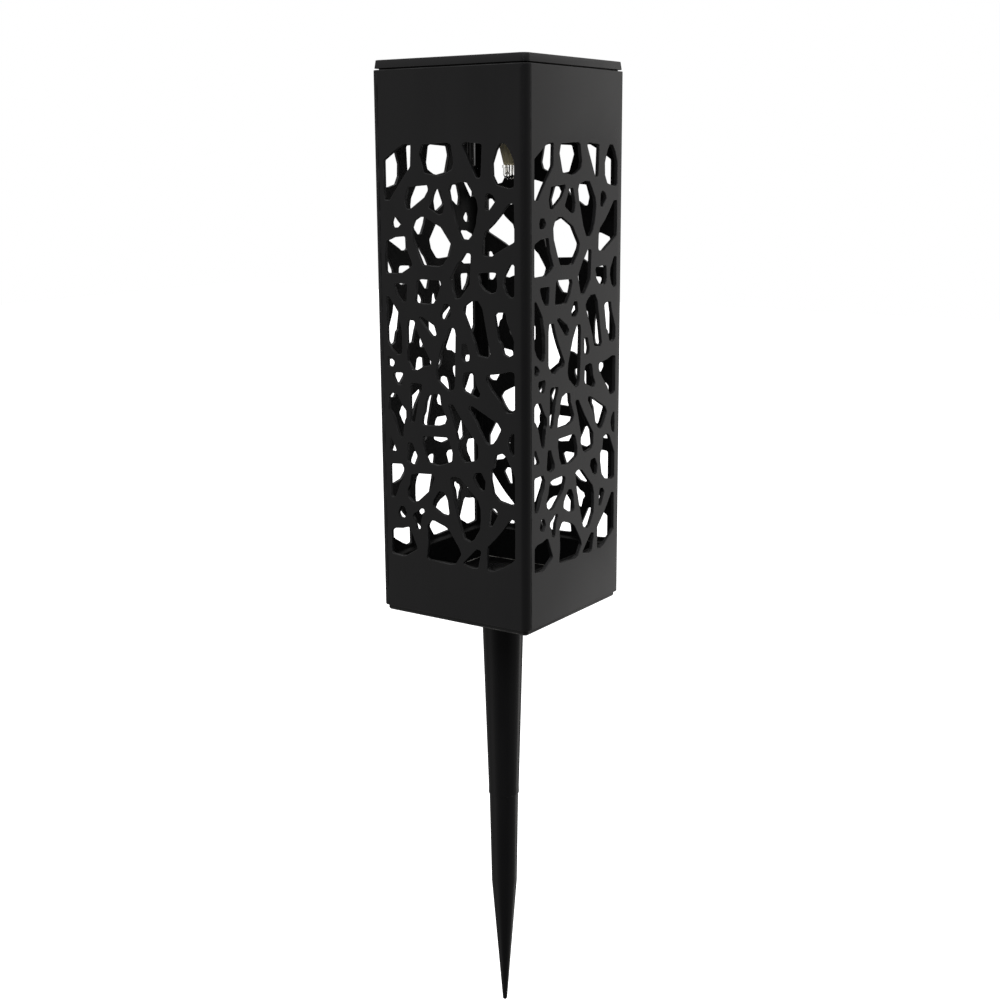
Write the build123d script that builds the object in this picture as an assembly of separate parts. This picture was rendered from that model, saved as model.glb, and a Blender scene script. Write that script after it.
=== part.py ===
from build123d import *
import math
import os

# Solar garden lantern on a ground stake: a square body of four pierced panels,
# a lift-off solar cap with a small lamp under it, and a two-piece stake.
# Millimetres, +Z up. The origin is the centre of the base underside, which is
# where the stake begins. The front panel faces -Y.

# ---- overall sizes ----
side = 70.0  # outer width of the square body
body_height = 208.4  # height of the panels
reveal = 2.2  # base plate seen below the panels
lid_gap = 0.6  # open line between panels and lid
lid_height = 3.0
stake_upper_length = 84.0
stake_lower_length = 97.5

# ---- panels ----
panel_wall = 1.5
corner_radius = 3.0  # outer rounding of the vertical corners
seam = 0.12  # open joint where one panel meets the next
window_side_margin = 5.4  # from the outer corner to the piercing
window_low = 21.6  # plain band under the piercing
window_high = 26.8  # plain band over the piercing
hole_rounding = 0.9

# ---- base ----
foot_inset = 1.3
foot_chamfer = 0.5
ledge_height = 20.5  # top of the tray above the panels' lower edge
ledge_inset = 6.0  # from the outer face to the tray's inner edge
tray_floor_height = 7.1
tray_wall = 1.5
ridge_count = 4
ridge_height = 1.2
ridge_step = 0.3
rim_rounding = 0.4
notch_clearance = 0.15
socket_bore = 14.6
socket_wall = 2.2
socket_depth = 12.0
socket_roof = 2.0
base_screw_spacing = 48.0
screw_diameter = 2.4
screw_head_diameter = 4.8
screw_clearance = 0.05
screw_sink = 0.2
screw_boss_diameter = 7.2
fit_clearance = 0.3

# ---- stake ----
stake_top_diameter = 17.5
stake_joint_diameter = 12.5
stake_wall = 1.8
stake_spigot_length = 11.0
lower_top_diameter = 12.2
lower_shank_length = 40.5
lower_shank_diameter = 10.8
lower_spigot_length = 14.0
plug_lead_in = 0.6
tip_diameter = 1.8

# ---- top frame and cap ----
frame_wall = 1.5
frame_depth = 14.0
lid_inset = 0.35
lid_draft = 0.35
lid_edge = 0.3
housing_clearance = 0.3
housing_wall = 1.6
housing_edge = 0.8
gasket_thickness = 1.0
pillar_diameter = 4.6
pillar_inset = 4.7  # pillar centre from the housing's outer face
screw_bite = 2.0  # screw hole's depth in the lid
screw_end_room = 0.3
screw_head_proud = 0.4
cell_side = 45.0
cell_thickness = 0.5
cell_corner = 0.6
cover_side = 47.0
cover_thickness = 1.5
cover_corner = 1.3
cover_chamfer = 0.25
pocket_clearance = 0.15

# ---- battery bay ----
battery_diameter = 14.5
battery_length = 50.5
battery_nub_diameter = 5.5
battery_nub_length = 1.2
battery_edge = 0.6
battery_lift = 0.5  # cell above the door
bay_side_room = 0.75  # beside the cell, each side
bay_top_room = 2.2
bay_headroom = 5.2  # over the bay, for the leads
bay_wall = 1.2
bay_y = 14.5
contact_thickness = 0.4
contact_width = 11.0
contact_lift = 1.5
contact_tail_width = 4.0
contact_gap = 0.1
spring_room = 4.5
spring_wire = 0.7
spring_turns = 3.5
spring_small_radius = 2.6
spring_large_radius = 5.4
door_clearance = 0.2
door_tab_width = 9.0
door_tab_reach = 5.0
door_boss_height = 4.0
door_screw_reach = 3.5
saddle_width = 8.7
saddle_length = 2.0
saddle_height = 3.0
saddle_clearance = 0.02

# ---- electronics ----
lamp_x = 5.0
lamp_y = -1.0
sleeve_top_diameter = 10.2
sleeve_end_diameter = 4.6
sleeve_length = 11.6
sleeve_spigot_diameter = 7.0
sleeve_bore = 3.4
sleeve_spigot_proud = 1.5  # over the housing floor
led_diameter = 5.0
led_flange_diameter = 5.8
led_flange_height = 1.0
led_length = 5.6
board_length = 36.0
board_width = 16.0
board_thickness = 1.6
board_y = -18.5
board_lift = 4.0  # board underside above the housing floor
board_post_diameter = 4.0
board_post_inset = 0.5
board_corner = 0.8
board_screw_head = 4.2
board_screw_head_height = 1.5
switch_x = -10.0
switch_y = -4.2
switch_length = 8.6
switch_width = 4.2
switch_height = 4.0
switch_wall = 0.5
lever_length = 3.0
lever_width = 2.0
lever_reach = 12.0
switch_travel = 2.0
lead_diameter = 1.0
lead_pitch = 1.8
lead_bend = 1.4
led_lead_spacing = 1.8
led_lead_rise = 5.0  # over the board
battery_lead_rise = 3.0  # over the contacts' tails
chip_x = -6.0
chip_length = 5.2
chip_width = 4.4
chip_height = 1.5
leg_pitch = 1.27
leg_width = 0.5
leg_length = 1.6
leg_height = 0.4
inductor_x = 5.0
inductor_diameter = 5.6
inductor_height = 4.4
inductor_flange = 0.8
component_y = board_y + 2.0

# ---- worked out from the sizes above ----
half = side / 2
body_bottom = reveal
body_top = reveal + body_height
lid_bottom = body_top + lid_gap
lid_top = lid_bottom + lid_height
inner_side = side - 2 * panel_wall
ledge_top = body_bottom + ledge_height
tray_floor = body_bottom + tray_floor_height
frame_inner = inner_side - 2 * frame_wall
notch = corner_radius - panel_wall + notch_clearance
frame_inner_radius = notch / (1 - math.sqrt(0.5)) - frame_wall  # keeps the wall even round the notch
housing_side = frame_inner - 2 * housing_clearance
housing_radius = frame_inner_radius - housing_clearance
bay_length = battery_length + spring_room + 2 * (contact_thickness + contact_gap)
bay_width = battery_diameter + 2 * bay_side_room
bay_height = battery_lift + battery_diameter + bay_top_room
housing_depth = housing_wall + bay_height + bay_headroom
housing_top = lid_bottom - gasket_thickness
housing_bottom = lid_bottom - housing_depth
floor_top = housing_bottom + housing_wall
pillar_place = housing_side / 2 - pillar_inset
screw_bore = screw_diameter + 2 * screw_clearance
head_bore = screw_head_diameter + 4 * screw_clearance

# The piercing, drawn on a window 59.2 wide and 160 high and fitted to the
# window that the panel leaves. Points run round each hole.
grid_width = 59.2
grid_height = 160.0
piercing = [
    # top row, left to right
    [(0, 153.8), (6.5, 158), (9.5, 159.6), (12.8, 159.6), (12.4, 151.4), (6.5, 144.4), (2.5, 139.2),
     (0, 139)],
    [(18, 159.4), (29.5, 160), (31.3, 159.4), (32.6, 152.9), (31.8, 150.4), (28, 148.6), (25.5, 148.1),
     (19.2, 149.1), (17, 155.9)],
    [(36.4, 159.3), (38.4, 160), (45.3, 159.3), (44.6, 147.3), (42.7, 147.3)],
    [(59.2, 144), (59.2, 152.9), (57.5, 156.6), (55.5, 159.2), (53.3, 159.4), (51.5, 156.9), (49.8, 152.4),
     (50, 147.9), (51.8, 144.8), (57, 143.6)],
    # second row
    [(11.2, 144), (20.8, 144.7), (21, 143.4), (18.8, 140.2), (12, 135.8), (10.4, 136), (9.7, 139.2)],
    [(24, 143.2), (26.3, 143.4), (28.1, 137.9), (27.4, 134.4), (25.5, 134), (20.6, 136.7)],
    [(31, 144.7), (35.5, 145.9), (38.3, 145.6), (42.7, 139.4), (43.3, 136.4), (42.3, 130.4), (41, 127.2),
     (38.8, 125), (36.2, 125.2), (34, 129.2), (31, 138.6), (30.2, 142.7)],
    [(47.8, 142.1), (50, 141.1), (51.2, 139.2), (48.2, 135.8), (46.5, 136), (46.8, 140.9)],
    [(45.4, 120), (45.6, 125.2), (46.4, 127.8), (50, 130.7), (53, 133.7), (56.8, 138.1), (59.2, 138.3),
     (59.2, 124.6), (51, 120.3), (49.3, 119.2), (46.3, 119.3)],
    # third row
    [(4, 132.8), (6.2, 132.8), (7.9, 130.6), (6.2, 129), (3.5, 128.8), (3.2, 130.9)],
    [(12.8, 128.9), (14, 131.6), (16.5, 133), (18.6, 133), (26.3, 129.3), (31.3, 122.7), (30.3, 119.2),
     (27, 115.5), (25, 114.9), (17.6, 115.2), (16, 118.6), (13.2, 124.9)],
    [(0, 123.6), (4, 125.2), (9.4, 125.7), (10.3, 120.7), (13, 115), (7.5, 111.9), (0, 111.6)],
    # fourth row
    [(37.5, 120.2), (39.9, 120), (39.3, 108.6), (35, 103.6), (32.6, 103.1), (31, 108.2), (30.3, 110.4),
     (33.8, 116), (35.4, 117.4)],
    [(42.9, 113), (49.3, 113.4), (51.3, 113.3), (51.7, 108.4), (51.2, 106.4), (48.8, 105.8), (46, 106.9),
     (43.9, 109), (43.9, 110.6)],
    [(59.2, 116.6), (57.3, 116.4), (54.7, 112), (54.4, 109.4), (55.6, 106), (57, 104.6), (59.2, 104.8)],
    [(3.3, 107.8), (10.1, 107.9), (9.5, 101.1), (7.3, 101), (5, 103.6)],
    [(14.8, 109.3), (16.5, 109.8), (25.6, 109.6), (26, 108.2), (24.3, 103.6), (22.4, 101), (20, 100.7),
     (13.9, 100.8)],
    # fifth row
    [(0, 103.1), (1.2, 102.6), (5.4, 96.8), (7, 89.4), (7.1, 83.4), (6.7, 80.9), (4.5, 80.4), (1.6, 82.7),
     (0, 85.7)],
    [(10.2, 94.1), (13, 94), (14.3, 90.4), (16.6, 85.7), (20.9, 78.6), (20.3, 77.3), (17, 76.7), (14, 75),
     (12, 75.1), (9.7, 78.4), (9.7, 91)],
    [(15.2, 95.2), (16.8, 95.8), (22.4, 92.6), (24.1, 90.4), (23, 88.6), (21.4, 88.7)],
    [(27.4, 101.2), (29.8, 101), (30.4, 96.9), (28.8, 95.4), (25.7, 95.1), (26, 97.6), (26.9, 98.9)],
    [(36, 99), (37.2, 100.8), (40, 102.7), (43, 102.8), (45, 99.9), (48.4, 83.4), (47.5, 82), (42.9, 82.6),
     (41.4, 87.2)],
    [(50.4, 98), (51.5, 98.8), (55.2, 99.1), (56, 95.4), (59, 88.7), (58.8, 84), (56.6, 82.8), (54.4, 83.8),
     (53.3, 87.8), (52.2, 88.6)],
    [(29.8, 92), (32, 92.1), (32.5, 89.9), (31.9, 70.4), (31.2, 68.8), (29, 68), (24, 71.9), (23.2, 74.4),
     (23.6, 77.9), (25.3, 82.4), (26.9, 86.7)],
    [(35.4, 86.6), (37.6, 86.6), (39, 82.4), (38.6, 80.3), (36.5, 79.8), (35.4, 81)],
    # sixth row
    [(0, 79.7), (1.5, 79.2), (3.3, 77.4), (2.4, 75.8), (0, 75.4)],
    [(2.7, 73.3), (6.8, 73.6), (7.4, 72.4), (6.5, 68.9), (5, 68.7), (3.6, 69.8), (2.6, 71.8)],
    [(46.6, 73.4), (46.8, 75.4), (52.5, 76.3), (57, 77.5), (59.2, 77.2), (59.2, 63), (57.8, 62.1), (55.4, 62),
     (53.4, 65.3), (49, 69.8)],
    [(36, 75.6), (39.4, 76.3), (41, 75.6), (42, 71), (43.8, 68), (43, 66.7), (41.3, 66.7), (36.3, 68.7),
     (35.7, 70)],
    [(10.7, 69.2), (12, 70.1), (16.4, 69.9), (16.2, 67.9), (14.9, 64.9), (12.7, 55.4), (12, 54.4),
     (10.5, 54.6)],
    [(0, 63.9), (1.2, 65.2), (4, 65.2), (7, 60.2), (8.3, 58.9), (8.3, 56.1), (7.6, 54.9), (6.6, 48.4),
     (5.8, 47.7), (4.8, 48.3), (2.6, 55.4), (1, 57.9), (0, 58.6)],
    [(18.2, 62.9), (19.2, 65.4), (22, 66.6), (24.8, 66.4), (25.2, 62.9), (27.9, 57.4), (27, 55.4), (24, 54.3),
     (16, 53.8), (16.6, 57.4), (17.5, 58.9)],
    [(28.7, 62.9), (31, 63.1), (35.6, 56.6), (42.4, 48.4), (42.5, 43.9), (41.5, 42.3), (36.2, 41.3),
     (34.8, 42.4), (33.2, 45.9), (33.4, 48.7), (31, 56.9)],
    [(38.2, 61.9), (38.6, 63.3), (40.3, 63.1), (51.5, 57.6), (53, 55.4), (51, 51.8), (49.4, 49.8),
     (47.4, 49.2), (46, 50), (43.7, 53.6), (41.8, 57.4)],
    [(59, 54.4), (58, 54.6), (56.7, 52.8), (56.1, 50.4), (56.9, 47.4), (58.3, 46), (59, 46.3)],
    # seventh row
    [(0, 47.7), (0.9, 47.4), (3.2, 42.6), (2.4, 42.1), (0, 42.2)],
    [(9.2, 46.4), (11.2, 46.3), (12.5, 43.2), (13.9, 40.4), (13.7, 38.4), (10.5, 37.7), (8.4, 39.1)],
    [(16.6, 49.6), (27.8, 50), (29, 48.7), (30.4, 44.4), (30.1, 41), (26.3, 39.4), (23.4, 38.7), (18.9, 39.3),
     (17.4, 42.2), (16.4, 46.9)],
    [(50.5, 45.3), (53.5, 46.4), (55.3, 45.2), (59.2, 37.9), (59.2, 27.7), (56.8, 27.2), (52, 28.2),
     (49.5, 30.6), (48.3, 35.9), (48.4, 39.4), (49.6, 40.4)],
    [(40.9, 37.6), (43.8, 38.1), (45.8, 34.9), (45.4, 31.4), (44, 31.1), (42.3, 32.2), (40.2, 35.4)],
    [(0, 37), (5.8, 37.4), (7.1, 35.1), (6.5, 32), (4.7, 29.4), (2.3, 23.8), (0, 23.6)],
    # eighth row
    [(10.6, 33.6), (13, 34.4), (20.2, 34.8), (21.8, 33.9), (20, 29), (13.5, 23.4), (10.8, 22.7), (8.8, 24.4),
     (8.4, 27.1), (9.6, 29.4)],
    [(24, 28.7), (26.2, 28.5), (27.8, 25.4), (28.5, 20), (27.4, 19.3), (25, 19.6), (20.6, 22), (21, 24.4)],
    [(29.2, 34.3), (31.2, 35.2), (33.8, 34.9), (42.3, 27), (43.3, 23.9), (43.4, 19.4), (42.9, 15.7),
     (40.3, 11.4), (38.4, 10.3), (35.6, 11.2), (33.4, 17.4), (30.6, 26.9)],
    [(47.9, 24.8), (50.2, 24.7), (51.6, 22.8), (48.8, 17.8), (47.2, 17.7)],
    # bottom row
    [(57.4, 21.7), (59.2, 21), (59.2, 6), (57, 4.2), (52, 1.3), (48.8, 0), (46.3, 0.2), (46.4, 9.2),
     (50.8, 13.5), (53.6, 16.8)],
    [(4.8, 20.4), (6.5, 20.5), (7.8, 17.7), (6.4, 15.6), (4.4, 15.7), (3.6, 17.4)],
    [(14.6, 20.6), (16.3, 20.5), (16.4, 19.2), (15, 16.9), (14.2, 12), (12.6, 11.7), (11.8, 15.4),
     (10.8, 16.8), (11.3, 18.2), (13, 19.1)],
    [(0, 9.9), (1.8, 11), (5.5, 11.4), (8.5, 12.3), (9.5, 11.6), (12.9, 3.9), (7, 0.4), (5, 0), (0, 0.4)],
    [(17.8, 13.9), (19.5, 16.3), (21.2, 16.4), (26.5, 14.7), (28.6, 13.3), (33.2, 6.9), (34.1, 4.6),
     (31.3, 0.5), (28.5, 0), (17.4, 0.4), (18.2, 6.4)],
    [(41.4, 7.9), (43.6, 7.4), (42, 0.3), (39.4, 0), (35.3, 0.7), (35, 1.4)],
]


def save(name, shape):
    """Write one sub-part as its own STEP file."""
    shape.label = name
    export_step(shape, os.path.join("parts", name + ".step"))


def block(x0, x1, y0, y1, z0, z1):
    """A box given by its limits."""
    middle = Pos((x0 + x1) / 2, (y0 + y1) / 2, (z0 + z1) / 2)
    return middle * Box(x1 - x0, y1 - y0, z1 - z0)


def prism(width, depth, z0, z1, radius=0.0):
    """An upright rectangular block on the axis, with rounded corners."""
    outline = RectangleRounded(width, depth, radius) if radius > 0 else Rectangle(width, depth)
    return Pos(0, 0, z0) * extrude(outline, z1 - z0)


def rod(x, y, z0, z1, diameter):
    """An upright round rod."""
    return Pos(x, y, (z0 + z1) / 2) * Cylinder(diameter / 2, z1 - z0)


def turned(points):
    """A body turned round the Z axis from (radius, height) points."""
    outline = make_face(Polyline([(r, 0, z) for r, z in points], close=True))
    return revolve(outline, Axis.Z)


def corners(place):
    """The four places at plus and minus a distance from the axis."""
    return [(x, y) for x in (-place, place) for y in (-place, place)]


def rounded_outline(points, radius):
    """A closed wire through the points, each corner rounded as far as its sides allow."""
    edges = []
    count = len(points)
    arcs = []
    for index in range(count):
        before = Vector(*points[index - 1], 0)
        corner = Vector(*points[index], 0)
        after = Vector(*points[(index + 1) % count], 0)
        back = before - corner
        forward = after - corner
        half_angle = math.radians(back.get_angle(forward)) / 2
        reach = min(radius / math.tan(half_angle), 0.45 * back.length, 0.45 * forward.length)
        start = corner + back.normalized() * reach
        end = corner + forward.normalized() * reach
        bisector = (back.normalized() + forward.normalized()).normalized()
        arc_radius = reach * math.tan(half_angle)
        middle = corner + bisector * (reach / math.cos(half_angle) - arc_radius)
        arcs.append((start, middle, end))
    for index in range(count):
        start, middle, end = arcs[index]
        edges.append(Edge.make_three_point_arc(start, middle, end))
        edges.append(Edge.make_line(end, arcs[(index + 1) % count][0]))
    return Wire(edges)


def make_panel():
    """The front panel: a pierced plate whose right end wraps the corner."""
    left = -half + corner_radius + seam
    right = half - corner_radius
    window_left = -half + window_side_margin
    window_bottom = body_bottom + window_low
    width_scale = (side - 2 * window_side_margin) / grid_width
    height_scale = (body_height - window_low - window_high) / grid_height
    holes = []
    for hole in piercing:
        placed = [(window_left + u * width_scale, window_bottom + v * height_scale) for u, v in hole]
        holes.append(rounded_outline(placed, hole_rounding))
    edge = [(left, body_bottom), (right, body_bottom), (right, body_top), (left, body_top)]
    face = Face(Wire.make_polygon(edge), holes)
    upright = Plane(origin=(0, -half, 0), x_dir=(1, 0, 0), z_dir=(0, -1, 0))
    plate = extrude(upright * face, amount=-panel_wall)
    # The rounded corner post that the next panel's edge meets.
    joint = -half + corner_radius
    bend = RadiusArc((right, -half), (half, joint), -corner_radius)
    back = Polyline((half, joint), (right, joint), (right, -half))
    post = extrude(make_face(bend + back), body_height)
    return plate + Pos(0, 0, body_bottom) * post


def notched_square(width, z0, z1):
    """A square block with its corners cut back round the panels' corner posts."""
    shape = prism(width, width, z0, z1)
    for x, y in corners(width / 2):
        shape -= Pos(x, y, (z0 + z1) / 2) * Box(2 * notch, 2 * notch, z1 - z0)
    return shape


def make_base_tray():
    """The tray inside the foot of the body, with a stepped wall round its floor."""
    floor_under = tray_floor - tray_wall
    pocket = side - 2 * ledge_inset
    tray = notched_square(inner_side, body_bottom, ledge_top)
    for ridge in range(ridge_count + 1):
        width = pocket - 2 * ridge_step * ridge
        top = ledge_top - ridge_height * ridge
        tray -= prism(width, width, tray_floor, top)
    upper = tray.edges().group_by(Axis.Z)[-1]
    inner = [e for e in upper if max(abs(e.center().X), abs(e.center().Y)) < pocket / 2 + rim_rounding]
    tray = fillet(inner, rim_rounding)
    # Hollows of even wall, open downwards.
    bottom_room = pocket - 2 * ridge_step * ridge_count - 2 * tray_wall
    tray -= prism(bottom_room, bottom_room, body_bottom, floor_under)
    slot_in = pocket / 2 + tray_wall
    slot_out = inner_side / 2 - tray_wall
    slot_half = pocket / 2 - 2 * tray_wall
    slot = block(-slot_half, slot_half, slot_in, slot_out, body_bottom, ledge_top - tray_wall)
    for turn in range(4):
        tray -= Rot(0, 0, 90 * turn) * slot
    for x, y in corners(base_screw_spacing / 2):
        tray += rod(x, y, body_bottom, tray_floor, screw_boss_diameter)
        tray -= rod(x, y, body_bottom, tray_floor - tray_wall / 2, screw_bore)
    socket_outer = socket_bore + 2 * socket_wall
    return tray - rod(0, 0, body_bottom, ledge_top, socket_outer + 2 * fit_clearance)


def make_base_plate():
    """The foot, with the stake socket standing on it."""
    width = side - 2 * foot_inset
    plate = prism(width, width, 0, reveal, corner_radius - foot_inset)
    plate = chamfer(plate.edges().group_by(Axis.Z)[0], foot_chamfer)
    plate += rod(0, 0, reveal, socket_depth + socket_roof, socket_bore + 2 * socket_wall)
    plate -= rod(0, 0, 0, socket_depth, socket_bore)
    for x, y in corners(base_screw_spacing / 2):
        plate -= Pos(x, y, 0) * countersink(reveal)
    return plate


def countersink(depth):
    """The cut for one countersunk base screw, standing on its wide end."""
    head = screw_head_diameter / 2 + screw_clearance
    shank = screw_bore / 2
    cone_top = screw_sink + head - shank
    return turned([(0, 0), (head, 0), (head, screw_sink), (shank, cone_top), (shank, depth), (0, depth)])


def make_base_screw():
    """A countersunk screw, head down."""
    head = screw_head_diameter / 2
    shank = screw_diameter / 2
    top = tray_floor - tray_wall
    cone_top = screw_sink + head - shank
    return turned([(0, screw_sink), (head, screw_sink), (shank, cone_top), (shank, top), (0, top)])


def make_top_frame():
    """The square ring that joins the panels' top edges and carries the lid."""
    low = body_top - frame_depth
    frame = notched_square(inner_side, low, lid_bottom)
    return frame - prism(frame_inner, frame_inner, low, lid_bottom, frame_inner_radius)


def make_stake_tube():
    """The upper stake: a tapered tube with a plug on top."""
    plug = socket_bore / 2 - fit_clearance
    top = stake_top_diameter / 2
    low = stake_joint_diameter / 2
    outline = [
        (plug - stake_wall, stake_spigot_length),
        (plug - plug_lead_in, stake_spigot_length),
        (plug, stake_spigot_length - plug_lead_in),
        (plug, 0),
        (top, 0),
        (low, -stake_upper_length),
        (low - stake_wall, -stake_upper_length),
        (plug - stake_wall, -stake_wall),
    ]
    return turned(outline)


def make_stake_point():
    """The lower stake: a plug, a slightly tapered shank and a long point."""
    joint = -stake_upper_length
    shank_end = joint - lower_shank_length
    tip = joint - stake_lower_length
    plug = stake_joint_diameter / 2 - stake_wall - fit_clearance
    end = tip_diameter / 2
    return turned([
        (0, joint + lower_spigot_length),
        (plug - plug_lead_in, joint + lower_spigot_length),
        (plug, joint + lower_spigot_length - plug_lead_in),
        (plug, joint),
        (lower_top_diameter / 2, joint),
        (lower_shank_diameter / 2, shank_end),
        (end, tip + end),
        (end * 0.7, tip + end * 0.3),
        (0, tip),
    ])


def make_lid():
    """The lid, with a stepped pocket for the solar cell and four blind screw holes."""
    width = side - 2 * lid_inset
    radius = corner_radius - lid_inset
    low = Pos(0, 0, lid_bottom) * RectangleRounded(width, width, radius)
    narrow = width - 2 * lid_draft
    high = Pos(0, 0, lid_top) * RectangleRounded(narrow, narrow, radius)
    lid = loft([low, high])
    lid = fillet(lid.edges().group_by(Axis.Z)[-1], lid_edge)
    cover = cover_side + 2 * pocket_clearance
    cell = cell_side + 2 * pocket_clearance
    cover_floor = lid_top - cover_thickness
    lid -= prism(cover, cover, cover_floor, lid_top, cover_corner + pocket_clearance)
    lid -= prism(cell, cell, cover_floor - cell_thickness, cover_floor, cell_corner + pocket_clearance)
    for x in (-lead_pitch, lead_pitch):
        lid -= rod(x, board_y, lid_bottom, cover_floor, lead_diameter + 2 * screw_clearance)
    for x, y in corners(pillar_place):
        lid -= rod(x, y, lid_bottom, lid_bottom + screw_bite, screw_bore)
    return lid


def make_solar_cell():
    """The thin square cell under the cover."""
    top = lid_top - cover_thickness
    return prism(cell_side, cell_side, top - cell_thickness, top, cell_corner)


def make_solar_cover():
    """The clear plate, flush with the lid."""
    cover = prism(cover_side, cover_side, lid_top - cover_thickness, lid_top, cover_corner)
    return chamfer(cover.edges().group_by(Axis.Z)[-1], cover_chamfer)


def make_gasket():
    """The soft ring between the lid and the housing."""
    ring = prism(housing_side, housing_side, housing_top, lid_bottom, housing_radius)
    inner = housing_side - 2 * housing_wall
    return ring - prism(inner, inner, housing_top, lid_bottom, housing_radius - housing_wall)


def make_housing():
    """The box under the lid that holds the battery, the board and the lamp."""
    inner = housing_side - 2 * housing_wall
    box = prism(housing_side, housing_side, housing_bottom, housing_top, housing_radius)
    box = fillet(box.edges().group_by(Axis.Z)[0], housing_edge)
    box -= prism(inner, inner, floor_top, housing_top, housing_radius - housing_wall)
    bay_x = bay_length / 2
    bay_low = bay_y - bay_width / 2
    bay_high = bay_y + bay_width / 2
    bay_top = floor_top + bay_height
    box += block(-bay_x - bay_wall, bay_x + bay_wall, bay_low - bay_wall, bay_high + bay_wall,
                 floor_top, bay_top)
    box -= block(-bay_x, bay_x, bay_low, bay_high, housing_bottom, bay_top)
    # A recess for the door's screw tab, and its screw boss above.
    tab_x, tab_y = door_screw_place()
    tab = door_tab_width / 2 + door_clearance
    tab_end = bay_low - door_tab_reach - door_clearance
    boss_top = floor_top + door_boss_height
    box += block(tab_x - tab - bay_wall, tab_x + tab + bay_wall, tab_end - bay_wall, bay_low, floor_top,
                 boss_top + bay_wall)
    box -= block(tab_x - tab, tab_x + tab, tab_end, bay_low, housing_bottom, floor_top)
    box -= rod(tab_x, tab_y, housing_bottom, boss_top, screw_bore)
    # Lamp hole, switch slot, screw holes and board posts.
    box -= rod(lamp_x, lamp_y, housing_bottom, floor_top, sleeve_spigot_diameter + 2 * screw_clearance)
    slot = (lever_length + switch_travel) / 2 + fit_clearance
    slot_width = lever_width / 2 + fit_clearance
    box -= block(switch_x - slot, switch_x + slot, switch_y - slot_width, switch_y + slot_width,
                 housing_bottom, floor_top)
    for x, y in corners(pillar_place):
        box += rod(x, y, floor_top, housing_top, pillar_diameter)
        box -= rod(x, y, housing_bottom, housing_top, screw_bore)
        box -= rod(x, y, housing_bottom, housing_bottom + housing_wall / 2, head_bore)
    for x, y in board_posts():
        box += rod(x, y, floor_top, floor_top + board_lift, board_post_diameter)
        box -= rod(x, y, floor_top, floor_top + board_lift, screw_bore)
    return box


def door_screw_place():
    """Where the door's one screw stands."""
    return -bay_length / 4, bay_y - bay_width / 2 - door_tab_reach / 2


def board_posts():
    """Where the two posts under the board stand."""
    reach = board_length / 2 - board_post_diameter / 2 - board_post_inset
    return [(-reach, board_y), (reach, board_y)]


def make_housing_screw():
    """A pan-head screw from below, up through its pillar and into the lid."""
    head_top = housing_bottom + housing_wall / 2
    head = screw_head_diameter / 2
    shank = screw_diameter / 2
    head_low = housing_bottom - screw_head_proud
    end = lid_bottom + screw_bite - screw_end_room
    return turned([(0, head_low), (head - screw_head_proud, head_low), (head, housing_bottom),
                   (head, head_top), (shank, head_top), (shank, end), (0, end)])


def make_door():
    """The battery door: a plate in the bay's mouth with a screw tab."""
    x = bay_length / 2 - door_clearance
    low = bay_y - bay_width / 2
    high = bay_y + bay_width / 2 - door_clearance
    door = block(-x, x, low - door_clearance, high, housing_bottom, floor_top)
    tab_x, tab_y = door_screw_place()
    tab = door_tab_width / 2
    door = door + block(tab_x - tab, tab_x + tab, low - door_tab_reach, low, housing_bottom, floor_top)
    door -= block(-x, tab_x - tab, low - door_clearance, low + door_clearance, housing_bottom, floor_top)
    door -= block(tab_x + tab, x, low - door_clearance, low + door_clearance, housing_bottom, floor_top)
    # Two saddles carry the cell.
    cell_radius = battery_diameter / 2 + saddle_clearance
    for place in (-bay_length / 4, bay_length / 4):
        saddle = block(place - saddle_length / 2, place + saddle_length / 2, bay_y - saddle_width / 2,
                       bay_y + saddle_width / 2, floor_top, floor_top + saddle_height)
        cell = Pos(place, bay_y, battery_axis()) * Rot(0, 90, 0) * Cylinder(cell_radius, 2 * saddle_length)
        door += saddle - cell
    door -= rod(tab_x, tab_y, housing_bottom, floor_top, screw_bore)
    door -= rod(tab_x, tab_y, housing_bottom, housing_bottom + housing_wall / 2, head_bore)
    return door


def make_door_screw():
    """The small screw that holds the door."""
    x, y = door_screw_place()
    seat = housing_bottom + housing_wall / 2
    head = screw_head_diameter / 2
    shank = screw_diameter / 2
    end = floor_top + door_screw_reach
    screw = turned([(0, housing_bottom), (head, housing_bottom), (head, seat), (shank, seat),
                    (shank, end), (0, end)])
    return Pos(x, y, 0) * screw


def battery_axis():
    """Height of the cell's axis."""
    return floor_top + battery_lift + battery_diameter / 2


def make_battery():
    """The rechargeable cell, its positive nub to the right."""
    end = bay_length / 2 - contact_thickness - contact_gap
    start = end - battery_length
    body_end = end - battery_nub_length
    radius = battery_diameter / 2
    soft = battery_edge
    nub = battery_nub_diameter / 2
    outline = [(0, start), (radius - soft, start), (radius, start + soft), (radius, body_end - soft),
               (radius - soft, body_end), (nub, body_end), (nub, end), (0, end)]
    return Pos(0, bay_y, battery_axis()) * Rot(0, 90, 0) * turned(outline)


def make_contact(side_sign):
    """A flat contact plate on one end wall of the bay, with a solder tail over it."""
    wall = side_sign * bay_length / 2
    inside = wall - side_sign * contact_thickness
    x0 = min(wall, inside)
    x1 = max(wall, inside)
    bay_top = floor_top + bay_height
    reach = contact_width / 2
    tail = contact_tail_width / 2
    plate = block(x0, x1, bay_y - reach, bay_y + reach, floor_top + contact_lift, bay_top)
    tail_end = wall + side_sign * bay_wall
    tail_x0 = min(inside, tail_end)
    tail_x1 = max(inside, tail_end)
    return plate + block(tail_x0, tail_x1, bay_y - tail, bay_y + tail, bay_top, bay_top + contact_thickness)


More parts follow.
